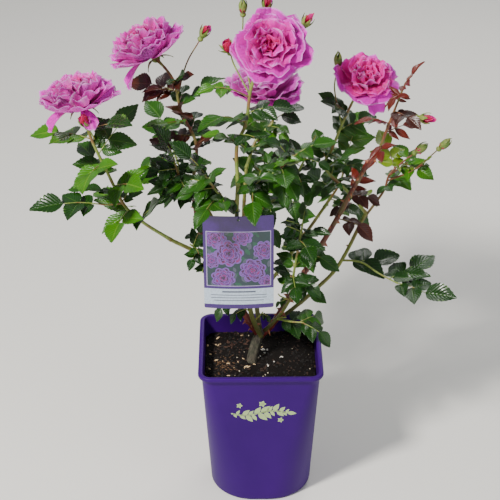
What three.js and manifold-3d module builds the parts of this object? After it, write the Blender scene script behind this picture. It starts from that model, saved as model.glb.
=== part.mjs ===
// A rose bush in flower, growing in a tall square nursery pot, with its label card.
// Millimetres, +Z up. The origin is the middle of the pot's flat underside and the front faces -Y.

import * as THREE from "three";
import { mergeVertices } from "three/addons/utils/BufferGeometryUtils.js";
import Module from "manifold-3d";

const wasm = await Module();
wasm.setup();

// Driving dimensions
const CLEAR = 0.3; // gap kept between neighbouring solids
const POT_HEIGHT = 235;
const POT_TOP = 175; // across the flat walls just under the lip
const POT_BASE = 154; // across the underside, which is nearly round
const POT_WALL = 2.2;
const POT_FLOOR = 3;
const FLOOR_BEVEL = 2; // how far the floor stops short of the walls inside
const POT_FOOT = 5; // height of the rounded edge under the walls
const LIP_OUT = 5; // how far the lip stands proud of the walls
const LIP_DEEP = 6.5;
const LIP_ROUND = 1.8; // rounding of the lip's edge
const LIP_INSIDE = 0.6; // how far the lip's inner edge lies under its top
const RIM_CORNER = 14; // corner radius of the walls at the top
const BASE_CORNER = 66; // and at the bottom
const DRAIN_HOLE = 6; // radius of each drain hole
const DRAIN_CIRCLE = 46; // the drain holes' distance from the middle
const SOIL_TOP = 210;
const SOIL_EDGE_DROP = 4; // how far the soil lies lower along the walls
const SOIL_FLAT = 55; // half width of its level middle

const CARD_WIDTH = 100;
const CARD_HEIGHT = 150;
const CARD_THICK = 1;
const CARD_BOW = 4; // how far the card's long edges bend back
const CARD_MIDDLE = [-31, -60, 411];
const CARD_HOLE = 1.7; // radius of the hole that the tie runs through
const CARD_HOLE_DROP = 6; // from the top edge to the hole's middle
const TIE_WIRE = 0.8; // radius of the tie

const LEAF_SPREAD = 64; // degrees between a stem and its leaf stalks
const LEAF_TURN = 144; // degrees from one leaf to the next round the stem
const LEAFLET_SPREAD = 62; // degrees between a stalk and its side leaflets
const LEAFLET_WIDE = 0.72; // width of a leaflet over its length
const LEAFLET_THICK = 1.3;
const LEAFLET_SUNK = 0.4; // how far a leaflet's root runs past the middle of its stalk
const LEAFLET_SWELL = 0.1; // share of its length where a leaflet is thickest
const LEAFLET_WIDEST = 0.45; // and where it is widest
const STALK_LONG = 1; // length of a leaf stalk over that of its end leaflet
const STALK_FOOT = 1.4; // radius of a leaf stalk at the stem
const STALK_TIP = 1.05; // and at its end leaflet
const STALK_SAG = 0.6; // share of a leaf's droop that bends its stalk
const PAIR_SAG = 0.3; // and its side leaflets
const PAIR_AT = 0.55; // where a stalk's side leaflets stand
const PAIR_SHIFT = 0.02; // one side leaflet is a little ahead of the other
const PAIR_SIZE = 0.86; // their length over the end leaflet's
const FIRST_LEAF = 0.12; // share of a stem below its first leaf, unless its mass says otherwise
const LAST_LEAF = 0.93; // share of a stem up to its last leaf
const LAST_UNDER_BLOOM = 0.86; // the same on a stem that ends in a bloom
const SIZE_RANGE = [0.86, 1.14]; // smallest and largest leaf over its mass's leaf length
const TURN_RANGE = 40; // degrees over which a leaf's bearing varies
const ROLL_RANGE = 1.2; // radians over which a leaf rolls about its stalk
const DROOP_RANGE = [0.4, 1.6]; // smallest and largest droop over the usual one
const DROOP = 0.38; // how far a leaf sinks over its length, unless its mass says otherwise
const SMALLER = [1, 0.82, 0.66]; // sizes that a leaf is tried at before it is left out
const TIP_STALK_SUNK = 4; // how far an end leaf's stalk starts inside its stem
const SPACE_MARGIN = 1.4; // how much nearer to its own stem than to any other a leaf stays
const LIMB_MARGIN = 3.5; // from a leaf's points to a limb's skin
const LIGHT = [-0.35, -0.7, 0.62]; // where the light comes from that the leaflets turn their faces to
const LIGHT_TURN = 0.5; // share of the way that they turn

const TRUNK_SIDES = 10;
const TRUNK_RINGS = 6;
const CANE_SIDES = 6;
const BLOOM_LOBES = 6; // petal lobes in each tier of a bloom
const LOBE_STEPS = 3; // a valley between two petals, then a petal's two shoulders
const LOBE_VALLEY = 1.6; // how deep a valley is cut, over its tier's lobe share
const LOBE_SHOULDER = 0.6; // how far the shoulders swell, over the same share
const LOBE_DROP = 0.5; // how far a shoulder bends down, over how far it swells
const UPPER_TIERS = 0.2; // height over the bloom's radius from which petals stand between the lower ones

// Colours of the real surfaces
const COLOUR = {
  pot: 0x4a2a86,
  soil: 0x1d1712,
  trunk: 0x4f4c38,
  redCane: 0x6b2f24,
  greenCane: 0x7d8a35,
  leaf: 0x2c5a22,
  bronzeLeaf: 0x57242a,
  card: 0x6d4aa8,
  tie: 0x1f4a38,
};

// Limbs, each from inside the one that carries it to the tip where its foliage takes over.
// A radius is given at the foot and at the tip.
const TRUNK = {
  name: "trunk",
  path: [[-13, -6, 198], [-12, -3, 214], [-7, 4, 234], [2, 9, 256]],
  foot: 8.2,
  tip: 7,
  colour: COLOUR.trunk,
};
const ROOT_FLARE = 5; // extra radius of the trunk at the soil
const FLARE_SHARE = 0.3; // share of the trunk over which the flare dies away

const CANES = [
  {
    name: "right_red_cane",
    path: [[0, 8, 246], [22, 8, 272], [76, 2, 380], [105, -4, 440], [144, -14, 529], [165, -20, 562]],
    foot: 5.2,
    tip: 2.6,
    colour: COLOUR.redCane,
  },
  {
    name: "left_red_cane",
    path: [[0, 8, 244], [-22, 7, 284], [-48, 16, 335], [-84, 30, 403], [-98, 40, 482]],
    foot: 5.4,
    tip: 3.6,
    colour: COLOUR.redCane,
  },
  {
    name: "left_green_cane",
    path: [[-24, 8, 288], [-47, -10, 345], [-80, -20, 398], [-127, -35, 436]],
    foot: 3.4,
    tip: 2.7,
    colour: COLOUR.greenCane,
  },
  {
    name: "front_green_cane",
    path: [[1, 5, 247], [-14, -10, 300], [-30, -28, 414], [-33, -42, 479], [-31, -44, 526]],
    foot: 3.8,
    tip: 2.9,
    colour: COLOUR.greenCane,
  },
  {
    name: "middle_green_cane",
    path: [[0, 12, 248], [-8, 32, 310], [-23, 60, 400], [-19, 84, 491]],
    foot: 3.8,
    tip: 2.5,
    colour: COLOUR.greenCane,
  },
  {
    name: "right_green_cane",
    path: [[18, 9, 268], [45, 20, 282], [83, 30, 313], [119, 40, 351], [158, 60, 427]],
    foot: 3.4,
    tip: 2.6,
    colour: COLOUR.greenCane,
  },
  {
    name: "back_left_cane",
    path: [[-8, 32, 312], [-50, 75, 370], [-90, 120, 430]],
    foot: 3.1,
    tip: 2.4,
    colour: COLOUR.greenCane,
  },
  {
    name: "back_right_cane",
    path: [[-6, 27, 298], [40, 70, 340], [100, 130, 400]],
    foot: 3.1,
    tip: 2.4,
    colour: COLOUR.greenCane,
  },
  {
    name: "back_middle_cane",
    path: [[-16, 46, 355], [-2, 90, 385], [8, 130, 415]],
    foot: 2.8,
    tip: 2.3,
    colour: COLOUR.greenCane,
  },
  {
    name: "low_cane",
    path: [[8, 7, 257], [26, -8, 288], [45, -22, 330]],
    foot: 2.8,
    tip: 2.2,
    colour: COLOUR.greenCane,
  },
];

// Masses of foliage. Each has one stem, which carries on from a cane, and its leaves stand round
// that stem by the seeded rule in growMass. `leaf` is the length of an end leaflet and `turn` the
// bearing of the first leaf. Twigs end in a bud, or in a leaf where they give its length.
const MASSES = [
  {
    name: "left_bloom_foliage",
    path: [
      [-127, -35, 436], [-164, -45, 469], [-189, -52, 500],
      [-208, -58, 550], [-229, -64, 610], [-236, -63, 642],
    ],
    thick: 2.5,
    thin: 1.7,
    leaves: 11,
    first: 0.22,
    leaf: 44,
    turn: 320,
    seed: 66,
    droop: 0.15,
    bloom: { centre: [-242, -62, 674], axis: [-0.15, 0.1, 1], width: 104 },
    twigs: [
      { at: 0.9, path: [[-222, -84, 618], [-228, -92, 636]] },
      { at: 0.42, path: [[-212, -60, 506], [-229, -64, 510]], leaf: 48 },
    ],
  },
  {
    name: "left_low_foliage",
    path: [[-84, -21, 402], [-91, -29, 417], [-100, -34, 428]],
    thick: 1.8,
    thin: 1.2,
    leaves: 3,
    leaf: 27,
    turn: 90,
    seed: 11,
    tipLeaf: true,
  },
  {
    name: "left_dark_foliage",
    path: [[-97, 38, 472], [-110, 20, 494], [-120, 8, 535]],
    thick: 2.2,
    thin: 1.4,
    leaves: 8,
    leaf: 42,
    turn: 280,
    seed: 41,
    droop: 0.15,
    tipLeaf: true,
  },
  {
    name: "upper_left_foliage",
    path: [[-98, 40, 482], [-91, 58, 541], [-112, 76, 585], [-122, 86, 629], [-140, 89, 656]],
    thick: 2.6,
    thin: 1.7,
    leaves: 8,
    leaf: 38,
    turn: 160,
    seed: 36,
    droop: 0.15,
    bloom: { centre: [-155, 88, 681], axis: [-0.45, 0.1, 0.9], width: 104 },
    twigs: [{ at: 0.62, path: [[-103, 88, 655], [-84, 92, 688]] }],
  },
  {
    name: "main_bloom_foliage",
    path: [[-31, -44, 526], [-32, -40, 583], [-19, -34, 617], [-12, -26, 665], [3, -19, 697]],
    thick: 2.8,
    thin: 1.9,
    leaves: 7,
    leaf: 44,
    turn: 220,
    seed: 66,
    last: 0.6,
    bloom: { centre: [15, -24, 725], axis: [0.05, -0.75, 0.7], width: 104 },
    twigs: [
      { at: 0.7, path: [[-34, -8, 690], [-39, -12, 708]] },
      { at: 0.74, path: [[-22, 22, 705], [-22, 16, 752]] },
      { at: 0.8, path: [[0, 26, 712], [8, 22, 754]] },
      { at: 0.84, path: [[38, 24, 694], [58, 30, 726]] },
      { at: 0.68, path: [[-30, -36, 664], [-40, -40, 670]], leaf: 28 },
    ],
  },
  {
    name: "back_bloom_foliage",
    path: [[-19, 84, 491], [-4, 100, 529], [20, 111, 552], [16, 114, 574]],
    thick: 2.4,
    thin: 1.7,
    leaves: 6,
    leaf: 40,
    turn: 200,
    seed: 106,
    droop: 0.15,
    bloom: { centre: [9, 114, 600], axis: [0, -0.1, 1], width: 102 },
  },
  {
    name: "centre_left_foliage",
    path: [[-33, -43, 500], [-54, -58, 516], [-76, -62, 552]],
    thick: 1.9,
    thin: 1.3,
    leaves: 7,
    leaf: 38,
    turn: 160,
    seed: 76,
    droop: 0.15,
    tipLeaf: true,
  },
  {
    name: "centre_right_foliage",
    path: [[-31, -44, 514], [-4, -62, 540], [22, -72, 562], [46, -74, 586]],
    thick: 2,
    thin: 1.3,
    leaves: 9,
    leaf: 42,
    turn: 120,
    seed: 51,
    tipLeaf: true,
  },
  {
    name: "middle_right_foliage",
    path: [[-23, 62, 415], [20, 48, 455], [56, 38, 508], [80, 34, 566]],
    thick: 2.1,
    thin: 1.3,
    leaves: 9,
    leaf: 42,
    turn: 260,
    seed: 16,
    tipLeaf: true,
  },
  {
    name: "card_side_foliage",
    path: [[45, -22, 330], [48, -46, 386], [54, -60, 440], [60, -58, 478]],
    thick: 2.1,
    thin: 1.3,
    leaves: 10,
    leaf: 40,
    turn: 340,
    seed: 96,
    tipLeaf: true,
  },
  {
    name: "rim_foliage",
    path: [[24, -6, 285], [44, -26, 292], [64, -36, 296]],
    thick: 1.6,
    thin: 1.1,
    leaves: 2,
    leaf: 30,
    turn: 340,
    seed: 66,
    droop: 0.8,
    tipLeaf: true,
  },
  {
    name: "bronze_foliage",
    path: [[108, -5, 446], [122, 6, 462], [134, 14, 490]],
    thick: 1.7,
    thin: 1.1,
    leaves: 4,
    leaf: 34,
    turn: 300,
    seed: 101,
    colour: COLOUR.bronzeLeaf,
    tipLeaf: true,
  },
  {
    name: "right_bloom_foliage",
    path: [[158, 60, 427], [132, 66, 458], [97, 70, 497], [107, 66, 532], [122, 61, 578], [138, 60, 616]],
    thick: 2.4,
    thin: 1.6,
    leaves: 7,
    leaf: 38,
    turn: 40,
    seed: 81,
    droop: 0.15,
    bloom: { centre: [152, 54, 646], axis: [0.15, -0.4, 0.9], width: 86 },
    twigs: [{ at: 0.76, path: [[108, 70, 620], [111, 72, 650]] }],
  },
  {
    name: "right_bud_foliage",
    path: [[152, 57, 415], [184, 78, 452], [193, 85, 477], [210, 92, 492], [228, 98, 504]],
    thick: 2,
    thin: 1.1,
    leaves: 6,
    leaf: 36,
    turn: 100,
    seed: 66,
    tipBud: true,
    twigs: [{ at: 0.4, path: [[226, 70, 492], [259, 62, 528]] }],
  },
  {
    name: "right_red_foliage",
    path: [[165, -20, 562], [174, -28, 600], [184, -34, 636], [194, -37, 668]],
    thick: 2.4,
    thin: 1.1,
    leaves: 6,
    leaf: 27,
    turn: 240,
    seed: 66,
    colour: COLOUR.bronzeLeaf,
    tipLeaf: true,
    twigs: [{ at: 0.55, path: [[200, -38, 626], [211, -43, 627]] }],
  },
  {
    name: "low_right_foliage",
    path: [[122, 42, 357], [151, 30, 360], [176, 14, 350], [204, 0, 340]],
    thick: 1.7,
    thin: 1.1,
    leaves: 2,
    leaf: 48,
    turn: 340,
    seed: 81,
    droop: -0.3,
    tipLeaf: true,
  },
  {
    name: "back_left_foliage",
    path: [[-90, 120, 430], [-118, 156, 452], [-134, 178, 492]],
    thick: 2.3,
    thin: 1.3,
    leaves: 5,
    leaf: 44,
    turn: 90,
    seed: 53,
    tipLeaf: true,
  },
  {
    name: "back_right_foliage",
    path: [[100, 130, 400], [126, 164, 426], [138, 186, 466]],
    thick: 2.3,
    thin: 1.3,
    leaves: 5,
    leaf: 44,
    turn: 20,
    seed: 59,
    tipLeaf: true,
  },
  {
    name: "back_middle_foliage",
    path: [[8, 130, 415], [12, 168, 436], [6, 196, 470]],
    thick: 2.2,
    thin: 1.3,
    leaves: 6,
    leaf: 44,
    turn: 240,
    seed: 67,
    tipBud: true,
  },
];

const UP = new THREE.Vector3(0, 0, 1);
const vector = (p) => new THREE.Vector3(...p);
const curveThrough = (points) => new THREE.CatmullRomCurve3(points.map(vector), false, "catmullrom", 0.5);

const endDirection = (curve) => curve.getPoint(1).sub(curve.getPoint(0.98)).normalize();

// A repeatable run of numbers from 0 to 1
function seeded(seed) {
  let state = seed * 7919 + 17;
  return () => {
    state = (state * 16807) % 2147483647;
    return state / 2147483647;
  };
}

// Solids from closed geometries, and meshes from solids
function solidOf(geometry) {
  const bare = geometry.clone();
  bare.deleteAttribute("normal");
  bare.deleteAttribute("uv");
  const merged = mergeVertices(bare, 1e-4);
  return new wasm.Manifold(
    new wasm.Mesh({
      numProp: 3,
      vertProperties: new Float32Array(merged.attributes.position.array),
      triVerts: new Uint32Array(merged.index.array),
    }),
  );
}

// The largest single body of a solid, without scraps or sealed hollows
function mainBody(solid) {
  return solid.decompose().reduce((best, body) => (body.volume() > best.volume() ? body : best));
}

function meshOf(name, solid, colour, roughness) {
  const { numProp, vertProperties, triVerts } = solid.getMesh();
  const geometry = new THREE.BufferGeometry();
  geometry.setAttribute("position", new THREE.BufferAttribute(new Float32Array(vertProperties), numProp));
  geometry.setIndex(new THREE.BufferAttribute(new Uint32Array(triVerts), 1));
  geometry.computeVertexNormals();
  const material = new THREE.MeshStandardMaterial({ color: colour, roughness, metalness: 0 });
  const mesh = new THREE.Mesh(geometry, material);
  mesh.name = name;
  return mesh;
}

// Rings of axes carried along a curve without twist, each with its point and two cross directions
function framesAlong(curve, rings, firstAcross = null) {
  const frames = [];
  let across = firstAcross;
  for (let i = 0; i <= rings; i++) {
    const t = i / rings;
    const at = curve.getPoint(t);
    const ahead = curve.getPoint(Math.min(t + 0.01, 1));
    const behind = curve.getPoint(Math.max(t - 0.01, 0));
    const along = ahead.sub(behind).normalize();
    if (!across) across = Math.abs(along.y) < 0.9 ? new THREE.Vector3(0, 1, 0) : new THREE.Vector3(1, 0, 0);
    across = across.clone().addScaledVector(along, -across.dot(along)).normalize();
    frames.push({ at, along, across, other: across.clone().cross(along) });
  }
  return frames;
}

// A tapering limb: a cylinder whose rings are carried onto the curve
function limbGeometry(curve, radiusAt, sides, rings, firstAcross = null) {
  const geometry = new THREE.CylinderGeometry(1, 1, 1, sides, rings);
  const position = geometry.attributes.position;
  const frames = framesAlong(curve, rings, firstAcross);
  for (let i = 0; i < position.count; i++) {
    const t = position.getY(i) + 0.5;
    const frame = frames[Math.round(t * rings)];
    const radius = radiusAt(t);
    const point = frame.at
      .clone()
      .addScaledVector(frame.across, position.getX(i) * radius)
      .addScaledVector(frame.other, position.getZ(i) * radius);
    position.setXYZ(i, point.x, point.y, point.z);
  }
  return geometry;
}

const taper = (foot, tip) => (t) => foot + (tip - foot) * t;

// Pot: a lathe profile whose rings are carried from circles onto rounded squares

const CORNER_STEPS = 4; // straight steps round each corner
const POT_SIDES = 4 * (CORNER_STEPS + 1);

const wallHalf = (z) => POT_BASE / 2 + ((POT_TOP - POT_BASE) / 2) * (z / POT_HEIGHT);
const wallCorner = (z) => BASE_CORNER + (RIM_CORNER - BASE_CORNER) * (z / POT_HEIGHT);

// Point number `step` of the rounded square that reaches `half` from the middle at height z
function squareOutline(step, half, z) {
  const corner = Math.floor(step / (CORNER_STEPS + 1)) % 4;
  const share = (step % (CORNER_STEPS + 1)) / CORNER_STEPS;
  const radius = Math.max(wallCorner(z) + half - wallHalf(z), 1);
  const angle = ((corner + share) * Math.PI) / 2;
  const reach = half - radius;
  const towardsX = corner === 0 || corner === 3 ? 1 : -1;
  const towardsY = corner < 2 ? 1 : -1;
  return [towardsX * reach + radius * Math.cos(angle), towardsY * reach + radius * Math.sin(angle)];
}

function squareLathe(profile) {
  const points = profile.map(([half, z]) => new THREE.Vector2(half, z));
  const geometry = new THREE.LatheGeometry(points, POT_SIDES);
  const position = geometry.attributes.position;
  for (let i = 0; i < position.count; i++) {
    const [half, z] = profile[i % profile.length];
    const step = Math.floor(i / profile.length) % POT_SIDES;
    const [x, y] = half === 0 ? [0, 0] : squareOutline(step, half, z);
    position.setXYZ(i, x, y, z);
  }
  return geometry;
}

function makePot() {
  const lipUnder = POT_HEIGHT - LIP_DEEP;
  const lipHalf = wallHalf(POT_HEIGHT) + LIP_OUT;
  const profile = [
    [0, 0],
    [wallHalf(0) - POT_FOOT, 0],
    [wallHalf(0) - POT_FOOT / 3, POT_FOOT / 3],
    [wallHalf(POT_FOOT), POT_FOOT],
    [wallHalf(POT_HEIGHT / 2), POT_HEIGHT / 2],
    [wallHalf(lipUnder), lipUnder],
    [lipHalf - LIP_ROUND / 2, lipUnder],
    [lipHalf, POT_HEIGHT - LIP_DEEP / 2],
    [lipHalf - LIP_ROUND, POT_HEIGHT],
    [wallHalf(POT_HEIGHT) - POT_WALL, POT_HEIGHT - LIP_INSIDE],
    [wallHalf(POT_HEIGHT / 2) - POT_WALL, POT_HEIGHT / 2],
    [wallHalf(POT_FLOOR) - POT_WALL - FLOOR_BEVEL, POT_FLOOR],
    [0, POT_FLOOR],
  ];
  let pot = solidOf(squareLathe(profile));
  for (let i = 0; i < 4; i++) {
    const angle = ((i + 0.5) * Math.PI) / 2;
    const hole = new THREE.CylinderGeometry(DRAIN_HOLE, DRAIN_HOLE, POT_FLOOR * 3, 8);
    hole.rotateX(Math.PI / 2);
    hole.translate(DRAIN_CIRCLE * Math.cos(angle), DRAIN_CIRCLE * Math.sin(angle), 0);
    pot = pot.subtract(solidOf(hole));
  }
  return meshOf("pot", pot, COLOUR.pot, 0.4);
}

function makeSoil() {
  const inset = POT_WALL + CLEAR;
  const bottom = POT_FLOOR + CLEAR;
  const edge = SOIL_TOP - SOIL_EDGE_DROP;
  const profile = [
    [0, bottom],
    [wallHalf(bottom) - inset - FLOOR_BEVEL, bottom],
    [wallHalf(POT_HEIGHT / 2) - inset, POT_HEIGHT / 2],
    [wallHalf(edge) - inset, edge],
    [SOIL_FLAT, SOIL_TOP],
    [0, SOIL_TOP],
  ];
  return meshOf("soil", solidOf(squareLathe(profile)), COLOUR.soil, 0.95);
}

// Trunk and canes. Each is cut back to CLEAR from those made before it.

const trunkRadius = (grow) => (t) => {
  const flare = ROOT_FLARE * Math.max(0, 1 - t / FLARE_SHARE) ** 2;
  return taper(TRUNK.foot, TRUNK.tip)(t) + flare + grow;
};

function makeTrunk(grow) {
  const whole = solidOf(limbGeometry(curveThrough(TRUNK.path), trunkRadius(grow), TRUNK_SIDES, TRUNK_RINGS));
  const below = new THREE.BoxGeometry(POT_TOP, POT_TOP, POT_TOP);
  below.translate(0, 0, SOIL_TOP + CLEAR - grow - POT_TOP / 2);
  return whole.subtract(solidOf(below));
}

function makeCane(cane, grow) {
  const curve = curveThrough(cane.path);
  const rings = 2 * (cane.path.length - 1);
  const radius = taper(cane.foot + grow, cane.tip + grow);
  if (grow === 0) return solidOf(limbGeometry(curve, radius, CANE_SIDES, rings));
  const end = curve.getPoint(1);
  const ahead = end.clone().sub(curve.getPoint(0.99)).normalize();
  const cap = curveThrough([
    end.clone().addScaledVector(ahead, -4).toArray(),
    end.clone().addScaledVector(ahead, grow).toArray(),
  ]);
  const tip = solidOf(limbGeometry(cap, () => cane.tip + grow, CANE_SIDES, 1));
  return solidOf(limbGeometry(curve, radius, CANE_SIDES, rings)).add(tip);
}

// Distance from a point to a line of points
function distanceToLine(point, line) {
  let nearest = Infinity;
  const segment = new THREE.Line3();
  const closest = new THREE.Vector3();
  for (let i = 1; i < line.length; i++) {
    segment.set(line[i - 1], line[i]);
    segment.closestPointToPoint(point, true, closest);
    nearest = Math.min(nearest, closest.distanceTo(point));
  }
  return nearest;
}

const LIMBS = [TRUNK, ...CANES].map((limb) => ({
  line: curveThrough(limb.path).getPoints(12),
  radius: limb.foot,
}));
for (const mass of MASSES) {
  mass.curve = curveThrough(mass.path);
  mass.line = mass.curve.getPoints(12);
  mass.twigs = (mass.twigs ?? []).map(({ at, path, leaf }) => {
    const curve = curveThrough([mass.curve.getPoint(at).toArray(), ...path]);
    return { curve, leaf };
  });
}
const BLOOMS = MASSES.filter((mass) => mass.bloom).map((mass) => mass.bloom);
const BLOOM_CLEAR = 2; // from a leaf to the ball round a bloom
const POT_MARGIN = 12; // from a leaf to the pot's rim
const CARD_MARGIN = 9; // from a leaf to the label card
const CARD_ABOVE = 16; // and to its top edge, which stays in sight from above

// Whether a leaf's points stay in their own mass's space: nearer to its stem than to any other,
// clear of the limbs, the blooms, the pot and the card, and not in front of the card
function inOwnSpace(mass, points) {
  return points.every((point) => {
    const own = distanceToLine(point, mass.line);
    const nearerOwn = MASSES.every(
      (other) => other === mass || distanceToLine(point, other.line) > own + SPACE_MARGIN,
    );
    const offLimbs = LIMBS.every((limb) => distanceToLine(point, limb.line) > limb.radius + LIMB_MARGIN);
    const offBlooms = BLOOMS.every(
      (bloom) => vector(bloom.centre).distanceTo(point) > bloom.width / 2 + BLOOM_CLEAR,
    );
    const abovePot = point.z > POT_HEIGHT + POT_MARGIN;
    const [cardX, cardY, cardZ] = CARD_MIDDLE;
    const offCard =
      Math.abs(point.x - cardX) > CARD_WIDTH / 2 + CARD_MARGIN ||
      point.y - cardY > CARD_MARGIN ||
      cardZ - point.z > CARD_HEIGHT / 2 + CARD_MARGIN ||
      point.z - cardZ > CARD_HEIGHT / 2 + CARD_ABOVE;
    return nearerOwn && offLimbs && offBlooms && abovePot && offCard;
  });
}

// A flat leaflet of eight faces: root, tip, two sides, and the swell of its face and back.
// It is turned about its own length, so that its face comes nearer to the light.
function leafletShape(root, along, across, length) {
  const lit = vector(LIGHT);
  lit.addScaledVector(along, -lit.dot(along)).normalize();
  const normal = along.clone().cross(across).lerp(lit, LIGHT_TURN).normalize();
  return { root, along, side: normal.clone().cross(along), length, normal };
}

function leafletPoint(leaflet, x, y, z) {
  const middle = z === 0 ? LEAFLET_WIDEST : LEAFLET_SWELL;
  const share = x < 0 ? (x + 1) * middle : middle + x * (1 - middle);
  return leaflet.root
    .clone()
    .addScaledVector(leaflet.along, share * leaflet.length)
    .addScaledVector(leaflet.side, (y * leaflet.length * LEAFLET_WIDE) / 2)
    .addScaledVector(leaflet.normal, (z * LEAFLET_THICK) / 2);
}

function leafletGeometry(leaflet) {
  const geometry = new THREE.OctahedronGeometry(1, 0);
  const position = geometry.attributes.position;
  for (let i = 0; i < position.count; i++) {
    const point = leafletPoint(leaflet, position.getX(i), position.getY(i), position.getZ(i));
    position.setXYZ(i, point.x, point.y, point.z);
  }
  return geometry;
}

// Points of a leaflet that are held against its mass's space, from just behind its root to its tip
const LEAFLET_TESTS = [
  [-0.2, 0, 0], [0.3, 0, 0], [1, 0, 0], [0, 1, 0], [0, -1, 0], [0.5, 0.5, 0], [0.5, -0.5, 0],
];

// One compound leaf: a straight stalk, a pair of side leaflets and an end leaflet that droops
function growLeaf(root, heading, size, droop, roll) {
  const sag = heading
    .clone()
    .addScaledVector(UP, -STALK_SAG * droop)
    .normalize();
  const side = UP.clone().cross(sag).normalize().applyAxisAngle(sag, roll);
  const stalk = [root.clone(), root.clone().addScaledVector(sag, size * STALK_LONG)];
  const spread = THREE.MathUtils.degToRad(LEAFLET_SPREAD);
  const leaflets = [];
  for (const hand of [1, -1]) {
    const along = sag
      .clone()
      .multiplyScalar(Math.cos(spread))
      .addScaledVector(side, hand * Math.sin(spread))
      .addScaledVector(UP, -PAIR_SAG * droop)
      .normalize();
    const across = sag.clone().cross(side).cross(along).normalize();
    const joint = stalk[0].clone().lerp(stalk[1], PAIR_AT + PAIR_SHIFT * hand);
    joint.addScaledVector(along, -LEAFLET_SUNK);
    leaflets.push(leafletShape(joint, along, across, size * PAIR_SIZE));
  }
  const along = sag.clone().addScaledVector(UP, -droop).normalize();
  const across = side.clone().addScaledVector(along, -side.dot(along)).normalize();
  const end = stalk[1].clone().addScaledVector(along, -2 * LEAFLET_SUNK);
  leaflets.push(leafletShape(end, along, across, size));
  return { stalk, side, leaflets };
}

function stalkGeometry({ stalk, side }) {
  const axis = new THREE.LineCurve3(...stalk);
  return limbGeometry(axis, taper(STALK_FOOT, STALK_TIP), 3, 1, side.clone().negate());
}

// The leaf at the largest size that keeps to its mass's space, with only the leaflets that do
function fitLeaf(mass, root, heading, size, droop, roll) {
  let best = null;
  for (const share of SMALLER) {
    const leaf = growLeaf(root, heading, size * share, droop, roll);
    if (!inOwnSpace(mass, leaf.stalk.slice(1))) continue;
    const kept = leaf.leaflets.filter((leaflet) =>
      inOwnSpace(mass, LEAFLET_TESTS.map((test) => leafletPoint(leaflet, ...test))),
    );
    if (kept.length === leaf.leaflets.length) return leaf;
    if (kept.length >= 2 && (!best || kept.length > best.leaflets.length)) {
      best = { ...leaf, leaflets: kept };
    }
  }
  return best;
}

// All the leaves of a mass, by its seed
function growMass(mass) {
  const random = seeded(mass.seed);
  const between = ([low, high]) => low + (high - low) * random();
  const leaves = [];
  const first = mass.first ?? FIRST_LEAF;
  const last = mass.last ?? (mass.bloom ? LAST_UNDER_BLOOM : LAST_LEAF);
  const usualDroop = mass.droop ?? DROOP;
  const spread = THREE.MathUtils.degToRad(LEAF_SPREAD);
  for (let k = 0; k < mass.leaves; k++) {
    const share = (k + random() / 2) / (mass.leaves - 0.5);
    const t = first + (last - first) * share;
    const bearing = THREE.MathUtils.degToRad(mass.turn + LEAF_TURN * k + TURN_RANGE * (random() - 0.5));
    const size = mass.leaf * between(SIZE_RANGE);
    const droop = usualDroop * between(DROOP_RANGE);
    const roll = ROLL_RANGE * (random() - 0.5);
    const at = mass.curve.getPoint(t);
    const stem = mass.curve
      .getPoint(t + 0.01)
      .sub(mass.curve.getPoint(t - 0.01))
      .normalize();
    const outward = new THREE.Vector3(Math.cos(bearing), Math.sin(bearing), 0);
    outward.addScaledVector(stem, -outward.dot(stem)).normalize();
    const heading = stem
      .clone()
      .multiplyScalar(Math.cos(spread))
      .addScaledVector(outward, Math.sin(spread))
      .normalize();
    leaves.push(fitLeaf(mass, at, heading, size, droop, roll));
  }
  const tips = mass.twigs.filter((twig) => twig.leaf).map((twig) => [twig.curve, twig.leaf]);
  if (mass.tipLeaf) tips.push([mass.curve, mass.leaf]);
  for (const [curve, size] of tips) {
    const ahead = endDirection(curve);
    const root = curve.getPoint(1).addScaledVector(ahead, -TIP_STALK_SUNK);
    leaves.push(fitLeaf(mass, root, ahead, size, usualDroop, 0));
  }
  return leaves.filter((leaf) => leaf !== null);
}

// A bloom: tiers of petals with lobed edges, turned in a lathe about the bloom's axis.
// A ring is its reach and height in shares of the bloom's radius, then its lobe share.
const BLOOM_RINGS = [
  [0, -0.5, 0],
  [0.3, -0.34, 0],
  [0.96, -0.1, 0.1],
  [0.72, 0.1, 0.04],
  [0.8, 0.32, 0.1],
  [0.46, 0.34, 0.04],
  [0.5, 0.5, 0.1],
  [0.2, 0.42, 0.03],
  [0, 0.4, 0],
];

function placeAlong(geometry, centre, axis) {
  const turn = new THREE.Quaternion().setFromUnitVectors(UP, vector(axis).normalize());
  geometry.rotateX(Math.PI / 2);
  geometry.applyQuaternion(turn);
  geometry.translate(...centre);
  return geometry;
}

function bloomGeometry({ centre, axis, width }) {
  const radius = width / 2;
  const points = BLOOM_RINGS.map(([reach, height]) => new THREE.Vector2(reach * radius, height * radius));
  const geometry = new THREE.LatheGeometry(points, BLOOM_LOBES * LOBE_STEPS);
  const position = geometry.attributes.position;
  for (let i = 0; i < position.count; i++) {
    const [, height, lobe] = BLOOM_RINGS[i % BLOOM_RINGS.length];
    const step = Math.floor(i / BLOOM_RINGS.length) + (height > UPPER_TIERS ? 1 : 0);
    const swell = lobe * (step % LOBE_STEPS === 0 ? -LOBE_VALLEY : LOBE_SHOULDER);
    const drop = swell * radius * LOBE_DROP;
    const out = 1 + swell;
    position.setXYZ(i, position.getX(i) * out, position.getY(i) - drop, position.getZ(i) * out);
  }
  return placeAlong(geometry, centre, axis);
}

// A closed bud on the end of its stem
const BUD_LONG = 26;
const BUD_SEAT = 0.36; // how far along its twig's line a bud's middle stands, over its length
const BUD_SIDES = 6;
const TWIG_FOOT = 1.3; // radius of a bud's twig where it leaves the stem
const TWIG_TIP = 1;
const BUD_RINGS = [[0, -0.5], [0.16, -0.38], [0.26, -0.1], [0.17, 0.25], [0, 0.5]];

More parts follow.
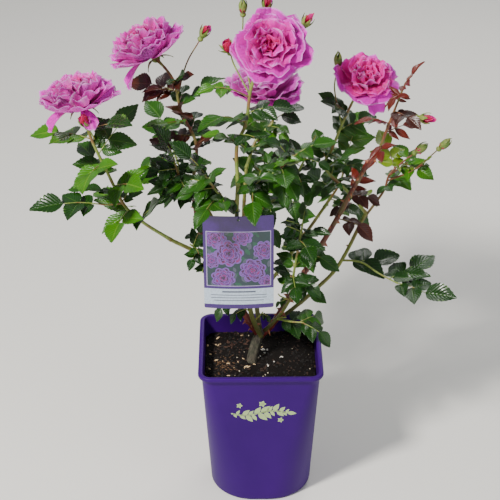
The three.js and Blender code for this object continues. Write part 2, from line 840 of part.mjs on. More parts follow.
function budGeometry(end, axis) {
  const points = BUD_RINGS.map(([reach, height]) => new THREE.Vector2(reach * BUD_LONG, height * BUD_LONG));
  const centre = end.clone().addScaledVector(axis, BUD_LONG * BUD_SEAT);
  return placeAlong(new THREE.LatheGeometry(points, BUD_SIDES), centre.toArray(), axis.toArray());
}

function makeMass(mass, before) {
  const parts = [];
  const rings = mass.path.length + 1;
  const stemPath = mass.bloom ? [...mass.path, mass.bloom.centre] : mass.path;
  const stemCurve = mass.bloom ? curveThrough(stemPath) : mass.curve;
  let stem = solidOf(limbGeometry(stemCurve, taper(mass.thick, mass.thin), 4, rings));
  for (const limb of before) stem = stem.subtract(limb);
  parts.push(mainBody(stem));
  if (mass.bloom) parts.push(solidOf(bloomGeometry(mass.bloom)));
  if (mass.tipBud) parts.push(solidOf(budGeometry(mass.curve.getPoint(1), endDirection(mass.curve))));
  for (const { curve, leaf } of mass.twigs) {
    parts.push(solidOf(limbGeometry(curve, taper(TWIG_FOOT, TWIG_TIP), 3, 3)));
    if (!leaf) parts.push(solidOf(budGeometry(curve.getPoint(1), endDirection(curve))));
  }
  for (const leaf of growMass(mass)) {
    parts.push(solidOf(stalkGeometry(leaf)));
    for (const leaflet of leaf.leaflets) parts.push(solidOf(leafletGeometry(leaflet)));
  }
  return mainBody(wasm.Manifold.union(parts));
}

// Label card: a thin plate, bowed about its long axis, that hangs from a tie round the front cane

function bowBack(geometry) {
  const position = geometry.attributes.position;
  for (let i = 0; i < position.count; i++) {
    const share = position.getX(i) / (CARD_WIDTH / 2);
    position.setY(i, position.getY(i) + CARD_BOW * share * share);
  }
  return geometry;
}

const HOLE = [CARD_MIDDLE[0], CARD_MIDDLE[1], CARD_MIDDLE[2] + CARD_HEIGHT / 2 - CARD_HOLE_DROP];

function makeCard() {
  const plate = bowBack(new THREE.BoxGeometry(CARD_WIDTH, CARD_THICK, CARD_HEIGHT, 8, 1, 1));
  plate.translate(...CARD_MIDDLE);
  const hole = new THREE.CylinderGeometry(CARD_HOLE, CARD_HOLE, 20, 10);
  hole.translate(...HOLE);
  return meshOf("label_card", solidOf(plate).subtract(solidOf(hole)), COLOUR.card, 0.35);
}

const TIE_RISE = 4; // the ring round the cane lies this far over the card's hole
const TIE_SLACK = 0.5; // and this far off the cane's skin
const TIE_BACK = 2.5; // the hook's two bends stand this far before and behind the card

function makeTie(frontCane) {
  const curve = curveThrough(frontCane.path);
  const frames = framesAlong(curve, 60);
  const [holeX, holeY, holeZ] = HOLE;
  const seat = frames.find((frame) => frame.at.z > holeZ + TIE_RISE);
  const share = frames.indexOf(seat) / (frames.length - 1);
  const ringRadius = taper(frontCane.foot, frontCane.tip)(share) + TIE_WIRE + TIE_SLACK;
  const ring = new THREE.TorusGeometry(ringRadius, TIE_WIRE, 4, 8);
  ring.applyQuaternion(new THREE.Quaternion().setFromUnitVectors(UP, seat.along));
  ring.translate(...seat.at.toArray());
  const front = seat.at.clone();
  front.y -= ringRadius;
  const hookPath = curveThrough([
    front.toArray(),
    [holeX, holeY + 3 * TIE_BACK, holeZ + TIE_RISE],
    [holeX, holeY + TIE_BACK, holeZ],
    [holeX, holeY - TIE_BACK, holeZ],
    [holeX, holeY - TIE_BACK - TIE_WIRE, holeZ + TIE_RISE],
  ]);
  const hook = limbGeometry(hookPath, () => TIE_WIRE, 4, 7);
  return meshOf("label_tie", solidOf(ring).add(solidOf(hook)), COLOUR.tie, 0.5);
}

// Assembly
const group = new THREE.Group();
group.add(makePot(), makeSoil(), makeCard());

const grownLimbs = [makeTrunk(CLEAR)];
group.add(meshOf("trunk", makeTrunk(0), TRUNK.colour, 0.85));
for (const cane of CANES) {
  let solid = makeCane(cane, 0);
  for (const limb of grownLimbs) solid = solid.subtract(limb);
  group.add(meshOf(cane.name, mainBody(solid), cane.colour, 0.6));
  grownLimbs.push(makeCane(cane, CLEAR));
}
group.add(makeTie(CANES.find((cane) => cane.name === "front_green_cane")));

for (const mass of MASSES) {
  group.add(meshOf(mass.name, makeMass(mass, grownLimbs), mass.colour ?? COLOUR.leaf, 0.45));
}

export default group;
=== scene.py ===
# A rose bush in flower, growing in a tall square nursery pot, with a label card tied to its front cane.
# Metres, +Z up. The origin is the middle of the pot's flat underside and the front faces -Y.
# Paths and sizes are written in millimetres and carried to metres by MM.

import math

import bmesh
import bpy
import numpy as np
from mathutils import Matrix, Vector, noise


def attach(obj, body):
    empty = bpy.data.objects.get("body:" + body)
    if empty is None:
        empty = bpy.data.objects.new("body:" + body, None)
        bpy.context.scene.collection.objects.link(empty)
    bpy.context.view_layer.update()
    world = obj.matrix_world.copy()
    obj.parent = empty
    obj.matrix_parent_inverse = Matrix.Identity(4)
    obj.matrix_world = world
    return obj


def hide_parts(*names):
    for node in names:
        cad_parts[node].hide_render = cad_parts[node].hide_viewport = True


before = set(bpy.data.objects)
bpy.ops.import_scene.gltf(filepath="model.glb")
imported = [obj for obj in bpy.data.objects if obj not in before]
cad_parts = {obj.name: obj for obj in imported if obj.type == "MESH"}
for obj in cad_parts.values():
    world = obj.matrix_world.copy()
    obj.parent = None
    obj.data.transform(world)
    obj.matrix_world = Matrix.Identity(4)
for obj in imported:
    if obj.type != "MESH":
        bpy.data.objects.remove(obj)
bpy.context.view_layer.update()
MM = 0.001

# Camera, floor and light. The view is the photograph's: from the front, looking down on the pot from
# well above its rim, on a long lens. A plain pale floor and three soft lamps stand in for a studio.

LENS = 108
AIM = Vector((-14.5, 0.0, 399.0)) * MM
DISTANCE = 2187 * MM
ELEVATION, AZIMUTH, ROLL = (math.radians(a) for a in (29.1, -0.25, -0.35))


def placed(name, data):
    """A new object with this data, in the scene."""
    made = bpy.data.objects.new(name, data)
    bpy.context.scene.collection.objects.link(made)
    return made


def place_camera():
    back = Vector((
        math.sin(AZIMUTH) * math.cos(ELEVATION),
        -math.cos(AZIMUTH) * math.cos(ELEVATION),
        math.sin(ELEVATION),
    ))
    right = (-back).cross(Vector((0, 0, 1))).normalized()
    up = back.cross(right)
    across = math.cos(ROLL) * right + math.sin(ROLL) * up
    upward = math.cos(ROLL) * up - math.sin(ROLL) * right
    camera = placed("camera", bpy.data.cameras.new("camera"))
    camera.data.lens = LENS
    camera.data.clip_end = 50
    camera.matrix_world = Matrix.Translation(AIM + back * DISTANCE) @ Matrix(
        (across, upward, back)
    ).transposed().to_4x4()
    bpy.context.scene.camera = camera


def softbox(name, place, size, watts, colour):
    lamp = bpy.data.lights.new(name, "AREA")
    lamp.shape = "DISK"
    lamp.size = size
    lamp.energy = watts
    lamp.color = colour
    box = placed(name, lamp)
    box.location = place
    box.rotation_euler = (AIM - Vector(place)).to_track_quat("-Z", "Y").to_euler()


def linear(colour, share=1):
    """A colour of three steps from 0 to 255 as a shader takes it, darkened to a share; others stay."""
    if isinstance(colour, bpy.types.NodeSocket) or len(colour) == 4:
        return colour
    steps = [step / 255 for step in colour]
    return (*(share * (s / 12.92 if s <= 0.04045 else ((s + 0.055) / 1.055) ** 2.4) for s in steps), 1)


def feed(tree, value, socket):
    """Sets a socket to a value, or links it to an output or to a node's first output."""
    if isinstance(value, bpy.types.Node):
        value = value.outputs[0]
    if isinstance(value, bpy.types.NodeSocket):
        tree.links.new(value, socket)
    else:
        socket.default_value = value


def node(tree, kind, **settings):
    """A new node. A setting is a property, or a socket by its name or by i and its number."""
    made = tree.nodes.new(kind)
    for key, value in settings.items():
        name = key.replace("_", " ")
        if hasattr(made, key):
            setattr(made, key, value)
        else:
            feed(tree, value, made.inputs[int(name[1:]) if name[1:].isdigit() else name])
    return made


def surface(name, colour, roughness, **sockets):
    """A material with its shader's plain sockets set, and its node tree."""
    material = bpy.data.materials.new(name)
    material.use_nodes = True
    tree = material.node_tree
    shader = tree.nodes["Principled BSDF"]
    for socket, value in dict(Base_Color=linear(colour), Roughness=roughness, **sockets).items():
        shader.inputs[socket.replace("_", " ")].default_value = value
    return material, tree, shader


def bumped(tree, shader, height, strength, distance):
    bump = node(tree, "ShaderNodeBump", Strength=strength, Distance=distance, Height=height)
    feed(tree, bump, shader.inputs["Normal"])


def own_place(tree):
    return node(tree, "ShaderNodeTexCoord").outputs["Object"]


def noise_of(tree, where, scale, detail=4, roughness=0.55):
    """Noise over a place, or over the object's own place where that is None."""
    where = own_place(tree) if where is None else where
    settings = dict(Scale=scale, Detail=detail, Roughness=roughness)
    return node(tree, "ShaderNodeTexNoise", Vector=where, **settings).outputs[0]


def studio():
    floor_finish, tree, shader = surface("floor_paper", (236, 234, 228), 0.9)
    bumped(tree, shader, noise_of(tree, None, 60), 0.05, 0.001)
    mesh = bpy.data.meshes.new("floor")
    mesh.from_pydata([(-6, -6, 0), (6, -6, 0), (6, 6, 0), (-6, 6, 0)], [], [(0, 1, 2, 3)])
    mesh.materials.append(floor_finish)
    floor = placed("floor", mesh)
    softbox("key", (-1.4, -1.5, 2.4), 0.42, 132, (1.0, 0.97, 0.92))
    softbox("fill", (1.9, -1.8, 1.3), 2.0, 15, (0.93, 0.96, 1.0))
    softbox("rim", (0.7, 1.9, 1.9), 1.4, 26, (1.0, 0.98, 0.95))
    world = bpy.data.worlds.new("room")
    world.use_nodes = True
    sky = world.node_tree.nodes["Background"].inputs
    sky["Color"].default_value = linear((232, 236, 242))
    sky["Strength"].default_value = 0.42
    bpy.context.scene.world = world


place_camera()
studio()

# Pot: a tall square nursery pot, injection moulded in purple polypropylene. Its walls taper from a
# square with rounded corners under a rolled lip to a nearly round foot with four drain holes.

POT_HEIGHT = 235 * MM
POT_TOP = 175 * MM
POT_BASE = 154 * MM
POT_WALL = 2.2 * MM
POT_FLOOR = 3 * MM
POT_FOOT = 5 * MM
LIP_OUT = 5 * MM
LIP_DEEP = 6.5 * MM
RIM_CORNER = 14 * MM
BASE_CORNER = 66 * MM
DRAIN_HOLE = 6 * MM
DRAIN_CIRCLE = 46 * MM
CORNER_STEPS = 12
SIDE_STEPS = 6


def wall_half(z):
    return POT_BASE / 2 + (POT_TOP - POT_BASE) / 2 * z / POT_HEIGHT


def rounded_square(half, z):
    """The points round the pot at one height, as far from the middle as half: sides and corners."""
    corner = BASE_CORNER + (RIM_CORNER - BASE_CORNER) * z / POT_HEIGHT
    radius = min(max(corner + half - wall_half(z), 0.2 * MM), half)
    reach = half - radius
    points = []
    for quarter in range(4):
        turn = quarter * math.pi / 2
        for step in range(CORNER_STEPS + 1):
            angle = step / CORNER_STEPS * math.pi / 2
            points.append((reach + radius * math.cos(angle), reach + radius * math.sin(angle), turn))
        for step in range(1, SIDE_STEPS):
            points.append((reach - 2 * reach * step / SIDE_STEPS, half, turn))
    return [
        (x * math.cos(turn) - y * math.sin(turn), x * math.sin(turn) + y * math.cos(turn), z)
        for x, y, turn in points
    ]


def as_piece(name, mesh):
    made = placed(name, mesh)
    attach(made, "root")
    return made


class Heap:
    """Points and faces gathered for one piece, with a finish number a face and a UV place a point."""

    def __init__(self):
        self.points, self.faces, self.finishes, self.places = [], [], [], []
        self.count = 0

    def add(self, points, faces, finish=0, places=None):
        points = np.asarray(points, float).reshape(-1, 3)
        self.points.append(points)
        self.faces += [tuple(int(i) + self.count for i in face) for face in faces]
        self.finishes += [finish] * len(faces)
        if places is not None:
            self.places.append(np.asarray(places, float).reshape(-1, 2))
        self.count += len(points)

    def piece(self, name, finishes, slot, stands_for=(), smooth=True):
        mesh = bpy.data.meshes.new(name)
        points = np.concatenate(self.points)
        mesh.from_pydata(points.tolist(), [], self.faces)
        for finish in finishes:
            mesh.materials.append(finish)
        mesh.polygons.foreach_set("material_index", self.finishes)
        mesh.polygons.foreach_set("use_smooth", [smooth] * len(mesh.polygons))
        if self.places:
            corners = np.zeros(len(mesh.loops), np.int32)
            mesh.loops.foreach_get("vertex_index", corners)
            layer = mesh.uv_layers.new(name="OFBake")
            layer.data.foreach_set("uv", np.concatenate(self.places)[corners].ravel())
        made = as_piece(name, mesh)
        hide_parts(*stands_for)
        return made


def angles(count):
    return [2 * math.pi * i / count for i in range(count)]


def ring_faces(rings, sides):
    """Quads between rings of points, each ring closed on itself."""
    return [
        (r + s, r + (s + 1) % sides, r + sides + (s + 1) % sides, r + sides + s)
        for r in range(0, (rings - 1) * sides, sides)
        for s in range(sides)
    ]


def closed(rings):
    """Points and faces of a skin over rings of points, capped at both ends."""
    sides = len(rings[0])
    last = (len(rings) - 1) * sides
    caps = [tuple(range(sides))[::-1], tuple(range(last, last + sides))]
    return [point for ring in rings for point in ring], ring_faces(len(rings), sides) + caps


def pot_profile():
    """The wall's section from the middle of the underside, up the outside, over the lip and down."""
    under = POT_HEIGHT - LIP_DEEP
    lip = wall_half(POT_HEIGHT) + LIP_OUT
    profile = [(6 * MM, 0), (wall_half(0) * 0.55, 0), (wall_half(0) - POT_FOOT, 0)]
    for step in range(1, 6):
        angle = step / 5 * math.pi / 2
        out = wall_half(POT_FOOT) - POT_FOOT * (1 - math.sin(angle))
        profile.append((out, POT_FOOT * (1 - math.cos(angle))))
    profile += [(wall_half(z * MM), z * MM) for z in range(12, 225, 12)]
    profile += [(wall_half(under - 1 * MM), under - 1 * MM), (wall_half(under) + 0.8 * MM, under)]
    roll = 2.6 * MM
    profile += [(lip - out * MM, under + up * MM) for out, up in ((1.2, 0), (0.3, 0.4), (0, 1.4))]
    for step in range(7):
        angle = step / 6 * math.pi / 2
        out = lip - roll * (1 - math.cos(angle))
        profile.append((out, POT_HEIGHT - roll * (1 - math.sin(angle))))
    inner = wall_half(POT_HEIGHT) - POT_WALL
    for out, down in ((1.4, 0.1), (0.3, 0.6), (0, 1.8)):
        profile.append((inner + out * MM, POT_HEIGHT - down * MM))
    profile += [(wall_half(z * MM) - POT_WALL, z * MM) for z in (228, 218, 200, 120, 30)]
    profile += [(wall_half(POT_FLOOR) - POT_WALL - 2 * MM, POT_FLOOR), (6 * MM, POT_FLOOR)]
    return profile


def ramp_of(tree, share, *stops):
    """A colour ramp with the given (place, colour) stops."""
    ramp = node(tree, "ShaderNodeValToRGB", Fac=share)
    while len(ramp.color_ramp.elements) < len(stops):
        ramp.color_ramp.elements.new(0.5)
    for element, (place, colour) in zip(ramp.color_ramp.elements, stops):
        element.position = place
        element.color = linear(colour)
    return ramp.outputs["Color"]


def spread_of(tree, value, start, end, low=0.0, high=1.0):
    """A value's share of the way from start to end, carried to run from low to high."""
    return node(tree, "ShaderNodeMapRange", Value=value, i1=start, i2=end, i3=low, i4=high).outputs[0]


def painted(tree, shader, colour):
    feed(tree, colour, shader.inputs["Base Color"])


def make_pot():
    finish, tree, shader = surface("moulded_pot", (53, 1, 101), 0.44, Specular_IOR_Level=0.15)
    cloudy = noise_of(tree, None, 9, 3)
    painted(tree, shader, ramp_of(tree, cloudy, (0.3, (49, 1, 96)), (0.7, (57, 2, 106))))
    feed(tree, spread_of(tree, cloudy, 0.0, 1.0, 0.4, 0.52), shader.inputs["Roughness"])
    bumped(tree, shader, noise_of(tree, None, 260, 2), 0.12, 0.0004)
    heap = Heap()
    heap.add(*closed([rounded_square(half, z) for half, z in pot_profile()]))
    pot = heap.piece("moulded_pot", [finish], "pot", ["pot"])
    for quarter in angles(4):
        angle = quarter + math.pi / 4
        bpy.ops.mesh.primitive_cylinder_add(
            vertices=24, radius=DRAIN_HOLE, depth=4 * POT_FLOOR,
            location=(DRAIN_CIRCLE * math.cos(angle), DRAIN_CIRCLE * math.sin(angle), 0),
        )
        drill = bpy.context.object
        cut = pot.modifiers.new("drain", "BOOLEAN")
        cut.object = drill
        cut.operation = "DIFFERENCE"
        cut.solver = "EXACT"
        drilled = bpy.data.meshes.new_from_object(pot.evaluated_get(bpy.context.evaluated_depsgraph_get()))
        pot.modifiers.remove(cut)
        pot.data = drilled
        bpy.data.objects.remove(drill)
    return pot


make_pot()

# Printed sprig: the pot's front carries a plain pale green print of a leafy sprig, pad printed on the
# plastic, where such pots have a decoration. It follows the wall and stands just proud of it.

SPRIG_MIDDLE = (-2, 169)
SPRIG_HALF = 42
SPRIG_LEAF = 17
SPRIG_PRINT = 0.15 * MM


def make_sprig():
    finish, tree, shader = surface("pale_print", (166, 188, 128), 0.5)
    bumped(tree, shader, noise_of(tree, None, 500), 0.1, 0.0002)
    heap = Heap()

    def blade(x, z, length, width, angle):
        """A flat pointed leaf on the wall, from its foot at x, z in millimetres."""
        rim = []
        steps = 8
        for hand in (1, -1):
            for i in range(steps):
                along = i / steps if hand == 1 else 1 - i / steps
                out = hand * width / 2 * math.sin(math.pi * along ** 0.8)
                px = x + along * length * math.cos(angle) - out * math.sin(angle)
                pz = z + along * length * math.sin(angle) + out * math.cos(angle)
                rim.append((px, pz))
        points = []
        for proud in (-0.1 * MM, SPRIG_PRINT):
            points += [(px * MM, -wall_half(pz * MM) - proud, pz * MM) for px, pz in rim]
        n = len(rim)
        sides = [(i, (i + 1) % n, n + (i + 1) % n, n + i) for i in range(n)]
        heap.add(points, sides + [tuple(range(n, 2 * n))])

    middle_x, middle_z = SPRIG_MIDDLE

    def rise(x):
        return middle_z + 4 * math.sin(x / SPRIG_HALF * math.pi)

    for i in range(-12, 12):
        start, end = i * SPRIG_HALF / 12, (i + 1) * SPRIG_HALF / 12
        slope = math.atan2(rise(end) - rise(start), end - start)
        blade(middle_x + start - 0.8, rise(start), end - start + 1.6, 2.4, slope)
    for i in range(-4, 5):
        x = i * SPRIG_HALF / 4.6
        for hand in (1, -1):
            size = SPRIG_LEAF * (1 - 0.1 * abs(i) + 0.16 * math.cos(2.3 * i + hand))
            angle = hand * (0.75 + 0.12 * (i % 3))
            blade(middle_x + x + 2 * hand, rise(x + 2 * hand), size, size * 0.5, angle)
    blade(middle_x + SPRIG_HALF * 0.97, rise(SPRIG_HALF * 0.97), 14, 7, -0.1)
    for x, z, size in ((-30, 14, 5), (4, 17, 6), (31, -13, 5)):
        for k in range(5):
            blade(middle_x + x, middle_z + z, size, size * 0.7, 2 * math.pi * k / 5)
    heap.piece("printed_sprig", [finish], "pot", smooth=False)


make_sprig()

# Potting soil: dark compost of peat and composted bark, filled to 25 mm under the rim and sunk a
# little along the walls. Loose chips of bark and grains of perlite lie on it.

SOIL_TOP = 210 * MM
SOIL_EDGE_DROP = 4 * MM
SOIL_RINGS = 40
SOIL_GAP = 0.5 * MM
# Each kind: a grain's size, colour, grains a square metre, seed, least and greatest share of its size,
# tilt, the patches' scale and floor, and the heap's place and reach
SOIL_LITTER = [
    ("bark_chips", (11, 5.5, 2.6), (52, 33, 22), 15000, 3, (0.35, 1.0), 0.35, (30, 0.42), (0, 0, 9000)),
    ("dark_crumbs", (8, 7, 5), (15, 11, 9), 34000, 41, (0.3, 1.0), 1.5, (20, 0.3), (0, 0, 9000)),
    ("tan_fibres", (13, 3, 2), (98, 70, 44), 90000, 11, (0.35, 1.0), 0.4, (60, 0.3), (-58, -14, 28)),
    ("brown_fibres", (12, 4, 2.2), (74, 46, 34), 50000, 17, (0.35, 1.0), 0.4, (60, 0.3), (-32, 44, 32)),
    ("pale_chips", (14, 6, 3.4), (206, 176, 134), 5200, 23, (0.5, 1.0), 0.4, (45, 0.4), (-60, 18, 72)),
    ("perlite", (8, 7, 6), (240, 234, 222), 7000, 29, (0.4, 1.0), 1.5, (60, 0.4), (24, 8, 38)),
    ("small_perlite", (4, 3.4, 3), (206, 192, 168), 4500, 31, (0.4, 1.0), 1.5, (34, 0.5), (0, 0, 9000)),
]


def blend_of(tree, share, first, second):
    """The mix of two colours, each a colour or an output."""
    both = dict(i6=linear(first), i7=linear(second))
    return node(tree, "ShaderNodeMix", data_type="RGBA", i0=share, **both).outputs[2]


def soil_height(x, y, share):
    lumps = noise.fractal(Vector((x, y, 0.3)) * 70, 0.9, 2.1, 4) * 1.6 * MM
    crumbs = noise.fractal(Vector((x, y, 0.7)) * 420, 0.8, 2.0, 3) * 0.7 * MM
    return SOIL_TOP - 0.5 * MM - SOIL_EDGE_DROP * share ** 5 + lumps + crumbs


def make_soil():
    finish, tree, shader = surface("potting_compost", (30, 22, 17), 0.95, Specular_IOR_Level=0.2)
    fine = noise_of(tree, None, 700, 5, 0.7)
    tone = ramp_of(tree, fine, (0.35, (10, 7, 6)), (0.58, (26, 18, 14)), (0.74, (58, 42, 30)))
    painted(tree, shader, blend_of(tree, noise_of(tree, None, 130, 3), tone, (11, 8, 7)))
    bumped(tree, shader, fine, 0.8, 0.0015)
    heap = Heap()
    inset = POT_WALL + SOIL_GAP
    rings = []
    for z in (POT_FLOOR + SOIL_GAP, 60 * MM, 130 * MM, SOIL_TOP - SOIL_EDGE_DROP - 3 * MM):
        rings.append(rounded_square(wall_half(z) - inset - (2 * MM if z < 10 * MM else 0), z))
    for i in range(SOIL_RINGS):
        share = 1 - i / SOIL_RINGS
        flat = rounded_square(wall_half(SOIL_TOP) - inset, SOIL_TOP)
        rings.append([(x * share, y * share, soil_height(x * share, y * share, share)) for x, y, _ in flat])
    heap.add(*closed(rings))
    return heap.piece("potting_compost", [finish], "soil", ["soil"])


def chip_seed(name, length, breadth, thickness, steps):
    """A small irregular grain, the shape that is strewn."""
    bpy.ops.mesh.primitive_ico_sphere_add(subdivisions=steps, radius=0.5)
    grain = bpy.context.object
    grain.name = name
    for vertex in grain.data.vertices:
        knock = 0.72 + 0.5 * noise.noise(vertex.co * 3.1 + Vector((length * 900, 0, 0)))
        x, y, z = vertex.co
        vertex.co = (x * length * knock, y * breadth * knock, z * thickness * knock)
    grain.hide_render = True
    return grain


def node_group(name, **inputs):
    """An empty Geometry Nodes group, with a label and kind for each input, and its inputs' outputs."""
    tree = bpy.data.node_groups.new(name, "GeometryNodeTree")
    for label, kind in dict(Geometry="Geometry", **inputs).items():
        tree.interface.new_socket(label.replace("_", " "), in_out="INPUT", socket_type="NodeSocket" + kind)
    tree.interface.new_socket("Geometry", in_out="OUTPUT", socket_type="NodeSocketGeometry")
    return tree, tree.nodes.new("NodeGroupInput").outputs


def set_on_points(tree, given, points, what, turn):
    """The end of a group: the thing set on points, turned, sized by its seed, made real and coated."""
    size = node(
        tree, "FunctionNodeRandomValue", data_type="FLOAT",
        i2=given["Smallest"], i3=given["Largest"], Seed=given["Seed"],
    )
    thing = node(tree, "GeometryNodeObjectInfo", Object=given[what])
    strewn = node(
        tree, "GeometryNodeInstanceOnPoints", Points=points, Instance=thing.outputs["Geometry"],
        Rotation=turn, Scale=size.outputs[1],
    )
    real = node(tree, "GeometryNodeRealizeInstances", Geometry=strewn)
    coated = node(tree, "GeometryNodeSetMaterial", Geometry=real, Material=given["Finish"])
    feed(tree, coated, tree.nodes.new("NodeGroupOutput").inputs[0])
    return tree


def maths(tree, operation, first, second=0.0):
    return node(tree, "ShaderNodeMath", operation=operation, i0=first, i1=second).outputs[0]


def strewn_tree():
    """Geometry Nodes that strew a grain over the upward faces of a surface, lying flat on it."""
    tree, given = node_group(
        "strewn_grains", Grain="Object", Density="Float", Seed="Int", Smallest="Float", Largest="Float",
        Tilt="Float", Patch_Scale="Float", Patch_Floor="Float", Heap_Place="Vector", Heap_Reach="Float",
        Finish="Material",
    )
    normal = node(tree, "ShaderNodeSeparateXYZ", Vector=node(tree, "GeometryNodeInputNormal"))
    upward = node(tree, "FunctionNodeCompare", operation="GREATER_THAN", i0=normal.outputs[2], i1=0.5)
    patches = node(tree, "ShaderNodeTexNoise", Scale=given["Patch Scale"], Detail=1.0).outputs[0]
    share = spread_of(tree, patches, given["Patch Floor"], 0.62)
    place = node(tree, "GeometryNodeInputPosition")
    away = node(tree, "ShaderNodeVectorMath", operation="DISTANCE", i0=place, i1=given["Heap Place"])
    core = maths(tree, "MULTIPLY", given["Heap Reach"], 0.3)
    near = spread_of(tree, away.outputs["Value"], given["Heap Reach"], core)
    density = maths(tree, "MULTIPLY", maths(tree, "MULTIPLY", share, near), given["Density"])
    points = node(
        tree, "GeometryNodeDistributePointsOnFaces", Mesh=given["Geometry"],
        Selection=upward, Seed=given["Seed"], Density=density,
    )
    tilt = given["Tilt"]
    lean = maths(tree, "MULTIPLY", tilt, -1.0)
    low = node(tree, "ShaderNodeCombineXYZ", X=lean, Y=lean, Z=0.0)
    high = node(tree, "ShaderNodeCombineXYZ", X=tilt, Y=tilt, Z=6.283)
    turn = node(
        tree, "FunctionNodeRandomValue", data_type="FLOAT_VECTOR", i0=low, i1=high, Seed=given["Seed"]
    )
    return set_on_points(tree, given, points, "Grain", turn)


def grown_mesh(name, base, tree, settings):
    """The plain mesh that a node tree makes on a base object, with its inputs set by their labels."""
    modifier = base.modifiers.new(name, "NODES")
    modifier.node_group = tree
    labels = {
        item.name: item.identifier for item in tree.interface.items_tree
        if getattr(item, "in_out", "") == "INPUT"
    }
    for label, value in settings.items():
        modifier[labels[label]] = value
    graph = bpy.context.evaluated_depsgraph_get()
    mesh = bpy.data.meshes.new_from_object(base.evaluated_get(graph))
    base.modifiers.remove(modifier)
    mesh.name = name
    return mesh


def make_soil_litter(bed):
    tree = strewn_tree()
    for name, shape, colour, density, seed, sizes, tilt, patch, heap in SOIL_LITTER:
        finish, shades, shader = surface(name, colour, 0.9)
        bumped(shades, shader, noise_of(shades, None, 900), 0.5, 0.0006)
        grain = chip_seed(name + "_grain", *(side * MM for side in shape), 2 if "perlite" in name else 1)
        mesh = grown_mesh(name, bed, tree, {
            "Grain": grain, "Density": density, "Seed": seed, "Smallest": sizes[0], "Largest": sizes[1],
            "Tilt": tilt, "Patch Scale": patch[0], "Patch Floor": patch[1],
            "Heap Place": Vector((heap[0], heap[1], 210)) * MM, "Heap Reach": heap[2] * MM, "Finish": finish,
        })
        as_piece(name, mesh)
        bpy.data.objects.remove(grain)


make_soil_litter(make_soil())

# Trunk and canes: one woody stem leans out of the soil and forks low into two thorny red-brown canes
# and younger green ones. Bark is ridged and grey-brown on the trunk, and smooth with leaf scars above.

TRUNK = {"path": [[-13, -6, 198], [-12, -3, 214], [-7, 4, 234], [2, 9, 256]], "foot": 8.2, "tip": 7}
ROOT_FLARE = 5
FLARE_SHARE = 0.3
AGED_FROM, AGED_TO = 262 * MM, 350 * MM
CANES = {
    "right_red_cane": (
        [[0, 8, 246], [22, 8, 272], [76, 2, 380], [105, -4, 440], [144, -14, 529], [165, -20, 562]], 5.2, 2.6
    ),
    "left_red_cane": ([[0, 8, 244], [-22, 7, 284], [-48, 16, 335], [-84, 30, 403], [-98, 40, 482]], 5.4, 3.6),
    "left_green_cane": ([[-24, 8, 288], [-47, -10, 345], [-80, -20, 398], [-127, -35, 436]], 3.4, 2.7),
    "front_green_cane": (
        [[1, 5, 247], [-14, -10, 300], [-30, -28, 414], [-33, -42, 479], [-31, -44, 526]], 3.8, 2.9
    ),
    "middle_green_cane": ([[0, 12, 248], [-8, 32, 310], [-23, 60, 400], [-19, 84, 491]], 3.8, 2.5),
    "right_green_cane": (
        [[18, 9, 268], [45, 20, 282], [83, 30, 313], [119, 40, 351], [158, 60, 427]], 3.4, 2.6,
    ),
    "back_left_cane": ([[-8, 32, 312], [-50, 75, 370], [-90, 120, 430]], 3.1, 2.4),
    "back_right_cane": ([[-6, 27, 298], [40, 70, 340], [100, 130, 400]], 3.1, 2.4),
    "back_middle_cane": ([[-16, 46, 355], [-2, 90, 385], [8, 130, 415]], 2.8, 2.3),
    "low_cane": ([[8, 7, 257], [26, -8, 288], [45, -22, 330]], 2.8, 2.2),
}
RED_CANES = ("right_red_cane", "left_red_cane")


def on_curve(path, t):
    """The point at share t of a smooth curve through the path's points."""
    spans = len(path) - 1
    place = t * spans
    i = min(max(int(math.floor(place)), 0), spans - 1)
    w = place - i
    a, b = path[i], path[i + 1]
    before = path[i - 1] if i > 0 else 2 * path[0] - path[1]
    after = path[i + 2] if i + 2 <= spans else 2 * path[-1] - path[-2]
    leave, arrive = (b - before) / 2, (after - a) / 2
    bend = -3 * a + 3 * b - 2 * leave - arrive
    return a + leave * w + bend * w**2 + (2 * a - 2 * b + leave + arrive) * w**3


def unit(v):
    return v / np.linalg.norm(v)


def curve_length(path):
    points = [on_curve(path, i / 24) for i in range(25)]
    return sum(np.linalg.norm(b - a) for a, b in zip(points, points[1:]))


def tube(path, radius_at, sides, steps):
    """Points and faces of a closed tapering limb along a path; radius_at takes share and angle."""
    rings = []
    across = None
    for r in range(steps + 1):
        t = r / steps
        along = unit(on_curve(path, min(t + 0.01, 1)) - on_curve(path, max(t - 0.01, 0)))
        if across is None:
            across = np.array([0, 1, 0]) if abs(along[1]) < 0.9 else np.array([1, 0, 0])
        across = unit(across - along * (across @ along))
        other = np.cross(along, across)
        at = on_curve(path, t)
        rings.append([
            at + radius_at(t, angle) * (math.cos(angle) * across + math.sin(angle) * other)
            for angle in angles(sides)
        ])
    return closed(rings)


def cane_skin(path, foot, tip, seed):
    """A cane's radius: swollen at its foot, ringed by leaf scars every 24 mm, a little uneven."""
    length = curve_length(path)

    def radius(t, angle):
        reach = t * length
        collar = 0.3 * math.exp(-reach / (6 * MM))
        scar = math.exp(-(((reach / (24 * MM) + seed * 0.37) % 1 - 0.5) / 0.06) ** 2)
        uneven = noise.noise(Vector((reach * 60, math.cos(angle), math.sin(angle) + seed)))
        return (foot + (tip - foot) * t) * (1 + collar + 0.12 * scar + 0.06 * uneven)

    return radius


